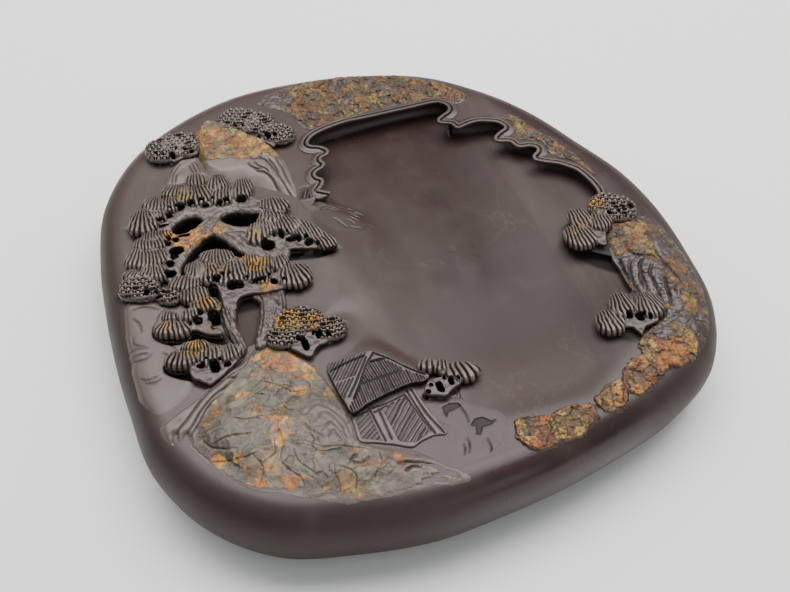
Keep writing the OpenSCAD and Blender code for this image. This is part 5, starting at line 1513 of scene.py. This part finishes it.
    # a low smooth rock with engraved contours, left of the lower crowns
    b = Box(-140, -98, -70, 8, 34.5, 42.4)
    X, Y = b.X, b.Y
    ins = -sd(LINE, X, Y)
    S = smooth([(-132.5, -6), (-131, 0), (-128, 3.5), (-121, 2), (-116, -1), (-110, -6), (-103, -8), (-102, -24), (-103, -44), (-110, -56), (-118, -63), (-128, -68), (-133.5, -60), (-135.5, -46), (-134.5, -30), (-134, -18)], 4)
    M = sd(S, X, Y) + 0.4 * vnoise(X / 5, Y / 5, 5)
    H = rim_z(ins) - 0.25 + 0.95 * sstep(0.3, -3.0, M) * sstep(-70, -52, Y) + 0.3 * sstep(0.3, -3.0, M)
    H = H - 3.2 * sstep(0.4, -1.0, recess(X, Y))
    cl = [[(-119.5, -14), (-121, -19), (-121, -24.5), (-115, -31), (-113, -35.5)], [(-113, -8), (-116.5, -10.5), (-119, -15.5)], [(-135, -28), (-130.5, -27), (-127, -28)], [(-132.5, -31), (-128.5, -31), (-125, -32.5)],
          [(-133.5, -33.5), (-128, -34.5), (-124, -32.5)], [(-119.5, -33), (-117, -36.5), (-114, -37.5)], [(-130.5, -19.5), (-130.5, -24), (-125, -29)], [(-128, -3), (-121, -4), (-115, -8)], [(-129, -8), (-126, -13), (-126, -19)],
          [(-132, -44), (-129, -46.5), (-124, -46)], [(-131, -47.5), (-127, -49), (-123, -48)]]
    G = carve(X, Y, cl, 0.42, 0.5)
    H = H - G
    b.add(relief(b, H, M * 0.9, rim_z(ins) - 1.8))
    ob = b.mesh("left_low_rock")
    paint(ob, lambda x, y, z: 0 * x, lambda x, y, z: np.full(x.shape, 0.66), cav_scale=0.4)
    wear_and_painted_light(ob, 0.25)
    engrave(ob, b, G, 0.1, 0.45, 0.6)
    # the hollow under the crowns is painted black as shadow
    set_attr(ob.data, "hollow_shade", np.maximum(get_attr(ob, "hollow_shade"), vert_fn(ob, lambda x, y, z: 0.96 * sstep(0.4, -0.6, recess(x, y)))))
    finish_piece(ob, MAT_ROCK, [])


def build_right_rock():
    b = Box(82, 133, -118, -16, 34.0, 46.0)
    X, Y = b.X, b.Y
    ins = -sd(LINE, X, Y)
    R = smooth([(104, -27), (110, -23), (118, -21.5), (126, -27), (130, -37), (130.5, -49), (130, -62), (128.5, -74), (124.5, -88), (118, -101), (110, -110), (102, -113.5), (95, -107),
                (89.5, -101.5), (86.5, -96), (92, -93), (101, -88), (101.5, -79), (96.5, -75.5), (94.5, -71), (95.5, -57), (96, -47), (98, -39), (101, -32)], 4)
    M = sd(R, X, Y) + 0.6 * fbm(X / 5, Y / 5, 81, 3)
    rz = rim_z(ins)
    ch, _ = chips(X, Y, 6.5, 82)
    ch2, _ = chips(X, Y, 2.6, 83)
    wx = X + 2.5 * fbm(X / 10, Y / 14, 84, 3)
    H = rz + 0.10 + mix(1.3, 0.15, sstep(21, 13, ins)) * sstep(0.2, -3, M) + 2.0 * sstep(-3, -14, M) + (0.55 * ridged(wx / 5.5, Y / 15, 85, 4) + 0.5 * ch + 0.28 * ch2 + 0.25 * fbm(X / 1.3, Y / 1.3, 86, 3)) * sstep(0.2, -2.5, M)
    H0 = H.copy()
    H = H - carve(X, Y, [[(102, -53.5), (98.5, -61), (96.8, -69), (97, -75.5)], [(109, -55), (104.5, -58.5), (102.5, -64), (101.5, -70.5), (100.5, -75.5)], [(110.5, -60), (106, -65.5), (106, -70.5), (105, -77), (103.5, -83)],
                         [(111.5, -69), (109.5, -75), (108.5, -80), (106, -86.5)], [(105.5, -42), (104.5, -49), (107.5, -53.5), (113, -55.5), (115, -61.5)], [(116, -53), (116, -62), (117.5, -71.5), (118, -80)],
                         [(112, -96.5), (115, -100.5), (112, -106)], [(108.5, -104.5), (108.5, -109), (105.5, -111.5)], [(104, -60), (101, -66), (99.5, -73)], [(98, -50), (97, -58), (96.2, -66)]], 0.75, 1.25)
    G = H0 - H
    H = np.minimum(H, 45.2)
    b.add(relief(b, H, M * 0.8, rz - 2.5))
    ob = b.mesh("right_rock")
    smooth_zone = smooth([(97, -52), (104, -50), (112, -56), (115, -68), (112, -88), (104, -86), (100, -76), (96, -72)], 4)
    paint(ob, lambda x, y, z: sstep(0.5, -1.2, sd(R, x, y)) * (0.3 + 0.7 * sstep(-4, 1.0, sd(smooth_zone, x, y) + 3 * fbm(x / 3, y / 3, 87, 3))) * (0.50 + 0.75 * fbm(x / 9, y / 9, 89, 3)),
          lambda x, y, z: np.full(x.shape, 0.36), cav_scale=0.6)
    wear_and_painted_light(ob, 0.7, 1.3)
    engrave(ob, b, G, 0.3, 1.0, 0.9)
    set_attr(ob.data, "edge", get_attr(ob, "edge") * vert_fn(ob, lambda x, y, z: sstep(-0.6, -3.0, sd(R, x, y))))
    pts = [(111.5, -28.5, 1.3), (119, -35.5), (101.5, -46.5), (102.5, -50.5, .8), (118.5, -50, 1.1), (119, -55, .8), (108, -66, .9), (112.5, -72.5, .9), (114.5, -86, 1.3), (113.5, -92.5, 1.2), (95.5, -94, .8), (105, -92, 1), (121.5, -77), (119, -62, 1.2), (106, -31, 1)]
    set_attr(ob.data, "rust", vert_fn(ob, lambda x, y, z: 0.85 * spots(x, y, pts, 4.6, 88, 0.9)))
    finish_piece(ob, MAT_CRUST, ["right_boulder"])


OPEN = [smooth(p, 4) for p in ([(-99, 41), (-97, 44), (-92, 47), (-86, 46), (-84, 43), (-88, 39), (-94, 37), (-98, 38)],
                               [(-75, 40), (-71, 43), (-66, 43), (-62, 40.5), (-56, 38), (-58, 31.5), (-63, 31), (-70, 34)],
                               [(-101, 8), (-101, 12), (-97, 19), (-91, 25), (-85, 30), (-81, 30), (-78, 27), (-74.5, 20), (-70, 12), (-73, 12), (-77, 16), (-82, 19), (-87, 19), (-93, 17), (-97, 13)],
                               [(-83.7, -20.4), (-81.8, -14.8), (-78.9, -11.8), (-74.8, -11.2), (-72.2, -14.3), (-71.9, -18.4), (-73.2, -24.2), (-76.0, -31.0), (-79.8, -39.9), (-83.0, -43.5), (-84.6, -37.1), (-84.9, -29.3)])]


def build_tree():
    b = Box(-113, -41, -2, 65, 37.5, 44.6, FINE * 1.15)
    X, Y = b.X, b.Y
    BR = smooth([(-108, 50), (-102, 57), (-92, 61), (-84, 62), (-76, 61), (-66, 59), (-56, 53), (-49, 44), (-45, 34), (-44, 22), (-46, 12), (-52, 2), (-64, 1), (-76, 2), (-88, 4), (-98, 4), (-108, 6), (-110, 14), (-107, 26), (-105, 36)], 4)
    M = sd(BR, X, Y) + 0.5 * vnoise(X / 4, Y / 4, 7)
    op = np.min([sd(o, X, Y) for o in OPEN], 0) + 0.3 * vnoise(X / 2.5, Y / 2.5, 9)
    d = np.maximum(M, -op)
    dr = drilled(X, Y)
    shade = np.maximum(d, -dr)
    # branches read as rounded limbs that run along their openings
    grain = ridged((X * 0.75 + Y * 0.65) / 2.2, (X * 0.65 - Y * 0.75) / 9.0, 91, 3)
    H = 40.9 + 2.1 * np.sqrt(np.clip(1 - np.clip(1 + d / 2.6, 0, 1) ** 2, 0, 1)) + 0.30 * grain + 0.3 * fbm(X / 6, Y / 6, 92, 3) + 0.35 * fbm(X / 1.8, Y / 1.8, 94, 3)
    H = H - carve(X, Y, [[(-84, 33), (-90, 30), (-97, 22)], [(-84, 35.5), (-92, 33)], [(-76, 30), (-71, 22), (-67, 12)], [(-73, 29), (-66, 26), (-60, 14)], [(-64, 14), (-60, 8), (-58, 4)],
                         [(-70, 27), (-66, 18)], [(-82, 34), (-78, 38), (-72, 44)], [(-86, 38), (-80, 42)]], 0.4, 0.6)
    H = H - 0.3 * sstep(1.2, 0.2, dr)
    H0 = H + 0.4 * sstep(0.4, 0.0, dr)
    b.add(relief(b, H, d, 38.0))
    shafts(b, dr)
    ob = b.mesh("branches")
    paint(ob, blob_crust, lambda x, y, z: 0.66 + 0.3 * fbm(x / 4, y / 4, 95, 3), cav_scale=0.5)
    # painted shade in the drilled holes
    engrave(ob, b, sstep(0.5, 0.0, dr), 0.2, 0.8, 0.95)
    shade_below(ob, 2.4, 1.1, 1.0)
    x, y, z = points(ob).T
    shade_walls(ob, from_map(b, H, x, y) - z, 0.9)
    finish_piece(ob, MAT_CARVED, ["pine_branches"])

    for name, node, poly, axis in (("trunk_left", "left_trunk", [(-88.4, -3.1), (-80.1, -6.1), (-74.3, -11.4), (-77.4, -13.5), (-81.0, -16.9), (-82.6, -22.2), (-84.6, -31.1), (-83.4, -39.7), (-84.8, -46.5), (-88.8, -47.9), (-89.6, -38.9), (-90.9, -28.2), (-90.6, -20.6), (-88.6, -14.2), (-88.2, -8)], 0),
                                   ("trunk_right", "right_trunk", [(-73.7, -10.2), (-65, -11), (-58.3, -13.0), (-58.9, -19.3), (-60.3, -25.3), (-63.2, -32.2), (-67.0, -37.3), (-71.8, -41.4), (-75.5, -46.8), (-79.4, -47.3), (-79.9, -41.8), (-75.8, -33.9), (-72.4, -24.2), (-71.8, -18.7), (-74.3, -13.7)], 1)):
        b = Box(-95, -54, -53, 3, 37.2, 45.6)
        X, Y = b.X, b.Y
        M = sd(smooth(poly, 4), X, Y) + 0.25 * vnoise(X / 2.2, Y / 3, 13 + axis)
        dr = drilled(X, Y)
        w = 3.4 if axis == 0 else 2.6
        sx = X + (0.16 * (Y + 25) if axis == 0 else -0.12 * (Y + 25))
        bark = ridged(sx / 1.5, Y / 8.0, 93 + axis, 3) + 0.9 * fbm(sx / 0.9, Y / 2.4, 97, 3)
        H = 40.4 + (3.1 if axis == 0 else 2.5) * np.sqrt(np.clip(1 - np.clip(1 + M / w, 0, 1) ** 2, 0, 1)) + 0.40 * bark + 0.25 * fbm(X / 1.4, Y / 1.8, 99, 3)
        H = H - 1.5 * sstep(-21, -13, Y)
        H0 = H.copy()
        ln = [[(-88, -12), (-90, -24), (-89.5, -38)], [(-85.5, -10), (-88, -22), (-87.5, -34)], [(-82, -8), (-85.5, -18), (-86.8, -30)], [(-88, -36), (-87, -44)]] if axis == 0 else \
             [[(-63.6, -21.2), (-63.9, -25.8)], [(-63.5, -21.4), (-63.8, -25.6)], [(-70.8, -24), (-73, -32), (-77, -41)], [(-67.5, -32), (-71, -39), (-76, -44)], [(-60.5, -16), (-61.6, -26), (-64, -31.5)], [(-70.4, -14), (-70, -20)]]
        H = H - carve(X, Y, ln, 0.4, 0.7)
        b.add(relief(b, H, M * 0.95, 37.6))
        shafts(b, dr)
        ob = b.mesh(name)
        paint(ob, blob_crust, lambda x, y, z: 0.58 + 0.3 * fbm(x / 2, y / 5, 98, 3), cav_scale=0.5)
        set_attr(ob.data, "edge", 0.6 * get_attr(ob, "edge"))
        engrave(ob, b, H0 - H, 0.1, 0.5, 0.85)
        shade_below(ob, 1.5, 0.4, 0.9)
        finish_piece(ob, MAT_CARVED, [node])


def hatch(X, Y, mask, ang, gap, w, depth, seed, keep=0.92):
    """Parallel engraved strokes at an angle, each a little uneven."""
    c, s = math.cos(math.radians(ang)), math.sin(math.radians(ang))
    u = X * c + Y * s
    v = -X * s + Y * c + 0.12 * gap * vnoise(u / 5, 0.3 * (-X * s + Y * c), seed)
    k = np.floor(v / gap)
    off = 0.18 * (_T[(k.astype(int) + seed) & 255, 7] - 0.5)
    d = np.abs(v / gap - k - 0.5 - off) * gap
    on = _T2[(k.astype(int) + seed) & 255, 9]
    st = depth * (0.65 + 0.5 * on) * np.exp(-(d / w) ** 2)
    return st * mask


def build_hut():
    ROOF = smooth([(-54, -67), (-49, -66), (-44, -65.5), (-38, -65.5), (-34, -66), (-31, -67.5), (-26.5, -72), (-22.5, -77), (-18.5, -81.5), (-15, -85.5), (-14, -88), (-17.5, -89.7), (-22.5, -88.7), (-30, -89.8), (-37.5, -91.3), (-44.5, -93.2), (-51.5, -95.5), (-53, -88), (-54, -78)], 3)
    b = Box(-57, -10, -99, -62, 38.5, 45.4, FINE)
    X, Y = b.X, b.Y
    M = sd(ROOF, X, Y)
    # ridge from the apex down the band, eave lifted and undercut
    H = 42.4 + 0.45 * sstep(0.0, -0.4, M) + 0.9 * np.exp(-((X + 41 - (Y + 78) * 0.78) / 9.0) ** 2) * sstep(-95, -75, Y) + 0.7 * sstep(-80, -93, Y)
    band = np.abs((X + 41.5) - (Y + 76.5) * 0.78) * 0.79                  # distance to the middle of the band
    inner = sstep(-0.15, -0.5, M)
    H0 = H.copy()
    ridge = line_dist([(-32, -68.5), (-26, -74), (-21, -80.5), (-15.5, -86.5)], X, Y)[0]
    right = ((X + 41.5) > (Y + 76.5) * 0.78).astype(float)
    rm = inner * right * sstep(1.4, 1.9, band) * sstep(0.8, 1.6, ridge) * sstep(-71, -73, Y)
    lm = inner * (1 - right) * sstep(1.4, 1.9, band)
    midy = -81.5 + 0.1 * (X + 35)
    H = H - hatch(X + 0.15 * (Y + 82) * (Y > midy), Y, rm * sstep(0.2, 0.6, np.abs(Y - midy)), 90, 1.15, 0.34, 0.85, 5)
    H = H - hatch(X, Y, lm * sstep(0.3, 0.7, np.abs(Y + 77.5)), 51, 1.3, 0.36, 0.85, 8)
    L = [[(-32, -68.5), (-26, -74), (-21, -80.5), (-15.5, -86.5)], [(-53, -70.5), (-45, -68.5), (-37, -67.8)], [(-32.5, -67.5), (-38, -73.5), (-43, -81), (-48.5, -88.5)],
         [(-36.5, -69), (-40.8, -75), (-45.3, -81), (-50.2, -87)], [(-44, -82.5), (-35, -81.5), (-24.5, -80.5)], [(-36, -72), (-28.5, -72)]]
    H = H - carve(X, Y, L, 0.42, 0.95, False)
    G = H0 - H
    F = relief(b, H, M, 38.8)
    # the eave overhangs the wall
    eave = line_dist([(-51.5, -95.5), (-46.5, -93.5), (-37.5, -91.3), (-30, -89.8), (-22.5, -88.7), (-16.5, -89.4), (-14, -87.7)], X, Y)[0]
    F = np.maximum(F, (41.35 - 1.2 * sstep(1.6, 3.2, eave))[:, :, None] - b.Z)
    b.add(F)
    ob = b.mesh("thatched_roof")
    paint(ob, lambda x, y, z: 0 * x, lambda x, y, z: 0.62 + 0.25 * fbm(x / 3, y / 3, 12, 3), cav_scale=0.38)
    set_attr(ob.data, "edge", 0.22 * get_attr(ob, "edge"))
    engrave(ob, b, G, 0.12, 0.5, 0.9)
    shade_below(ob, 1.9, 1.0, 0.97)
    shade_walls(ob)
    finish_piece(ob, MAT_CARVED, ["hut_roof"])

    WALL = smooth([(-52, -92), (-43, -90), (-34, -88), (-24, -86.5), (-22, -88), (-21, -96), (-19.5, -105), (-17.2, -116.8), (-22.5, -116.3), (-28.5, -117.3), (-33.5, -118.8), (-39.5, -115.3), (-47.5, -111.3), (-53, -108.5), (-52.5, -100)], 3)
    b = Box(-56, -13, -122, -84, 37.8, 43.2, FINE)
    X, Y = b.X, b.Y
    M = sd(WALL, X, Y)
    H = 40.35 + 0.45 * sstep(0.0, -0.4, M)
    H = H - 0.25 * sstep(-92, -88, Y)
    H0 = H.copy()
    p1 = sd([(-43.5, -94), (-43, -102.5), (-42.5, -114), (-39.4, -114), (-40, -103), (-40.2, -94)], X, Y)
    rp = sd([(-38.5, -95.2), (-27, -93), (-22.8, -113.6), (-31, -117), (-37.5, -114)], X, Y)
    lp = sd([(-51, -96.8), (-44.5, -95.8), (-44, -111.5), (-51.5, -107.5)], X, Y)
    H = H - 0.25 * sstep(0.2, -0.4, rp) - 0.25 * sstep(0.2, -0.4, lp)
    cx = 0.05 * (X + 31) ** 2 / 6.0
    H = H - hatch(X, Y + cx, sstep(0.05, -0.3, rp), 45, 2.0, 0.46, 1.0, 3)
    H = H - hatch(X, Y, sstep(0.05, -0.3, lp), 34, 1.75, 0.42, 0.95, 4)
    L = [[(-50.5, -96), (-44, -95.3)], [(-42.5, -94.4), (-35.5, -93.9), (-27.5, -92.3)], [(-42.5, -96.5), (-36, -95.6)], [(-43.7, -94), (-43.2, -102.5), (-42.7, -112)], [(-40, -95.5), (-40, -103), (-40, -112)],
         [(-25.5, -90), (-24, -104), (-22, -115.5)], [(-23.4, -90), (-21.8, -104), (-18.3, -116.5)], [(-27, -92), (-23.4, -113.5)]]
    H = H - carve(X, Y, L, 0.38, 0.8, False)
    b.add(relief(b, H, M, 38.2))
    ob = b.mesh("plaited_wall")
    paint(ob, lambda x, y, z: 0 * x, lambda x, y, z: 0.7 + 0.2 * fbm(x / 3, y / 3, 12, 3), cav_scale=0.38)
    set_attr(ob.data, "edge", 0.22 * get_attr(ob, "edge"))
    engrave(ob, b, H0 - H, 0.28, 0.60, 0.95)
    shade_walls(ob)
    x, y, z = points(ob).T
    # painted shadow of the eave on the wall just under it
    eav = line_dist([(-53, -96.5), (-46.5, -94.3), (-37.5, -92.1), (-30, -90.6), (-22.5, -89.5), (-16.5, -90.2)], x, y)[0]
    set_attr(ob.data, "hollow_shade", np.maximum(get_attr(ob, "hollow_shade"), 0.97 * sstep(2.0, 0.8, eav)))
    finish_piece(ob, MAT_CARVED, ["hut_wall"])


def patch(name, x0, x1, y0, y1, poly, ground, marks, lift=0.10, rim=3.0, mat=None, raise_=None, tone=None, amount=0.7):
    """A thin skin of the same stone, engraved, its border sunk under the surface round it."""
    b = Box(x0, x1, y0, y1, 28.0, 42.8, FINE * 1.1)
    X, Y = b.X, b.Y
    M = sd(smooth(poly, 3), X, Y)
    H = ground(X, Y) + lift * sstep(0, -rim, M) - 0.5 * sstep(-0.3, 1.6, M)
    if raise_ is not None:
        H = H + raise_(X, Y)
    H0 = H.copy()
    for lines, w, dp in marks[0]:
        H = H - carve(X, Y, lines, w, dp)
    for fn in marks[1]:
        H = H - fn(X, Y)
    b.add(relief(b, H, np.clip(M - 1.5, -3, 3), ground(X, Y) - 1.2))
    ob = b.mesh(name)
    paint(ob, None, tone, cav_scale=0.5)
    set_attr(ob.data, "edge", 0.2 * get_attr(ob, "edge") * vert_fn(ob, lambda x, y, z: sstep(-1.5, -3.5, sd(smooth(poly, 3), x, y))))
    engrave(ob, b, H0 - H, 0.12, 0.5, amount)
    return finish_piece(ob, mat or MAT_SLAB, [])


def build_patches():
    """The curl of mist engraved on the shoulder of the slope, a row of grass, and the marks on the near bank."""
    fr = smooth([(-30.6, 48.4), (-28.3, 49.9), (-24.8, 49.3), (-20.9, 47.0), (-18.7, 44.0), (-18.4, 40.3), (-21.6, 40.8), (-25.6, 42.2), (-30.3, 42.2), (-34.0, 43.8)], 3)

    patch("mist_curl", -36, -1, 12, 56, MIST_PATCH, slab_ground,
          ([([[(-28.2, 37.3), (-26.2, 40.0), (-23.6, 41.0), (-19.4, 39.8), (-16.4, 37.2), (-13.9, 33.2), (-12.5, 30.4)],
              [(-25.7, 33.0), (-24.3, 35.1), (-22.1, 35.9), (-18.5, 35.2), (-15.6, 32.7), (-14.0, 29.3)], [(-23.9, 34.0), (-20.5, 33.9), (-17.4, 31.7)]], 0.5, 0.6),
            ([[(-13.6, 36.5), (-11.2, 34.5), (-9.1, 34.9)], [(-13.2, 33.0), (-10.1, 30.7), (-7.7, 28.7)], [(-12.7, 29.9), (-9.6, 27.7), (-7.2, 25.7)],
              [(-13.0, 26.7), (-10.6, 24.7), (-9.1, 22.4)], [(-14.5, 24.4), (-12.8, 22.7), (-12.1, 20.2)], [(-8.9, 32.0), (-6.6, 30.0), (-5.2, 27.2)],
              [(-21.2, 26.8), (-19.2, 23.9), (-16.3, 18.9)], [(-14.6, 19.4), (-12.3, 17.5), (-10.1, 17.2)], [(-17.0, 40.1), (-14.0, 37.5), (-12.4, 35.5)],
              [(-11.2, 36.0), (-8.5, 33.0)], [(-10.5, 28.6), (-8.2, 26.2)]], 0.42, 0.45)],
           [lambda X, Y: hatch(X, Y, sstep(0.3, -0.8, sd(fr, X, Y)), 66, 1.7, 0.42, 1.3, 6)]),
          raise_=lambda X, Y: 1.0 * sstep(0.8, -1.0, sd(fr, X, Y)) + 0.22 * np.exp(-((line_dist(smooth_open([(-27, 35), (-24, 38.5), (-19, 37.5), (-15, 33), (-12, 27)], 5), X, Y)[0]) / 1.6) ** 2),
          tone=slab_tone)
    notch = [np.array(q, float) for q in NOTCH_RAW]

    patch("near_bank_marks", -22, 12, -134, -98, BANK_PATCH, slab_ground,
          ([(NEAR_LINES, 0.45, 0.5)], [lambda X, Y: 0.55 * sstep(0.25, -0.5, np.min([sd(q, X, Y) for q in notch], 0) + 0.3 * fbm(X / 1.5, Y / 1.5, 23, 3))]),
          lift=0.10, tone=slab_tone, amount=0.75)


QN = list(PADS)
for n in QN:
    pine(n, MAT_CARVED)
build_slab()
build_lip()
build_crust()
build_peak()
build_front()
build_right_rock()
build_tree()
build_hut()
build_patches()

# =====================================================================
# Floor, light, camera
# =====================================================================
floor_me = bpy.data.meshes.new("floor")
floor_me.from_pydata([(-6, -6, 0), (6, -6, 0), (6, 6, 0), (-6, 6, 0)], [], [(0, 1, 2, 3)])
floor = bpy.data.objects.new("floor", floor_me)
bpy.context.scene.collection.objects.link(floor)
fm = Nodes("floor_paper")
fm.link(fm.mixc(fm.noise(3.0, 2.0), lin(240, 240, 235), lin(246, 246, 242)), fm.b.inputs["Base Color"])
fm.b.inputs["Roughness"].default_value = 0.9
floor_me.materials.append(fm.m)

scn = bpy.context.scene
cam_d = bpy.data.cameras.new("camera")
cam = bpy.data.objects.new("camera", cam_d)
scn.collection.objects.link(cam)
cam_d.sensor_width = 36.0
cam_d.lens = 18.0 / math.tan(math.radians(20.0))
cam_d.clip_start = 0.01
el, az = math.radians(47.0), math.radians(-20.0)
tgt = np.array([-4.6, -18.7, 20.3]) * 0.001
d = np.array([math.sin(az) * math.cos(el), -math.cos(az) * math.cos(el), math.sin(el)])
pos = tgt + d * 0.532
from mathutils import Vector
cam.location = Vector(pos)
cam.rotation_euler = (Vector(tgt) - Vector(pos)).to_track_quat("-Z", "Y").to_euler()
scn.camera = cam


def area(name, loc, target, sx, sy, power, color=(1, 1, 1)):
    ld = bpy.data.lights.new(name, "AREA")
    ld.shape = "RECTANGLE"
    ld.size = sx
    ld.size_y = sy
    ld.energy = power
    ld.color = color
    o = bpy.data.objects.new(name, ld)
    scn.collection.objects.link(o)
    o.location = loc
    o.rotation_euler = (Vector(target) - Vector(loc)).to_track_quat("-Z", "Y").to_euler()
    return o


area("overhead", (0.16, 0.36, 1.15), (0, 0.02, 0), 1.5, 0.9, 26.0)
area("left", (-1.0, 0.85, 1.15), (0, 0, 0), 0.9, 0.9, 4.5)
area("front", (0.1, -1.5, 0.55), (0, 0, 0), 1.2, 0.7, 4.0)
area("right", (1.2, 0.45, 1.2), (0, 0, 0), 0.9, 0.9, 8.0)
w = bpy.data.worlds.new("world")
scn.world = w
w.use_nodes = True
w.node_tree.nodes["Background"].inputs[0].default_value = (0.80, 0.84, 0.90, 1)
w.node_tree.nodes["Background"].inputs[1].default_value = 0.50
wt = w.node_tree
tc = wt.nodes.new("ShaderNodeTexCoord")
sx = wt.nodes.new("ShaderNodeSeparateXYZ")
mr = wt.nodes.new("ShaderNodeMapRange")
mr.inputs[1].default_value = 0.0
mr.inputs[2].default_value = 0.7
mr.inputs[3].default_value = 0.10
mr.inputs[4].default_value = 0.62
wt.links.new(tc.outputs["Generated"], sx.inputs[0])
wt.links.new(sx.outputs[2], mr.inputs[0])
wt.links.new(mr.outputs[0], wt.nodes["Background"].inputs[1])
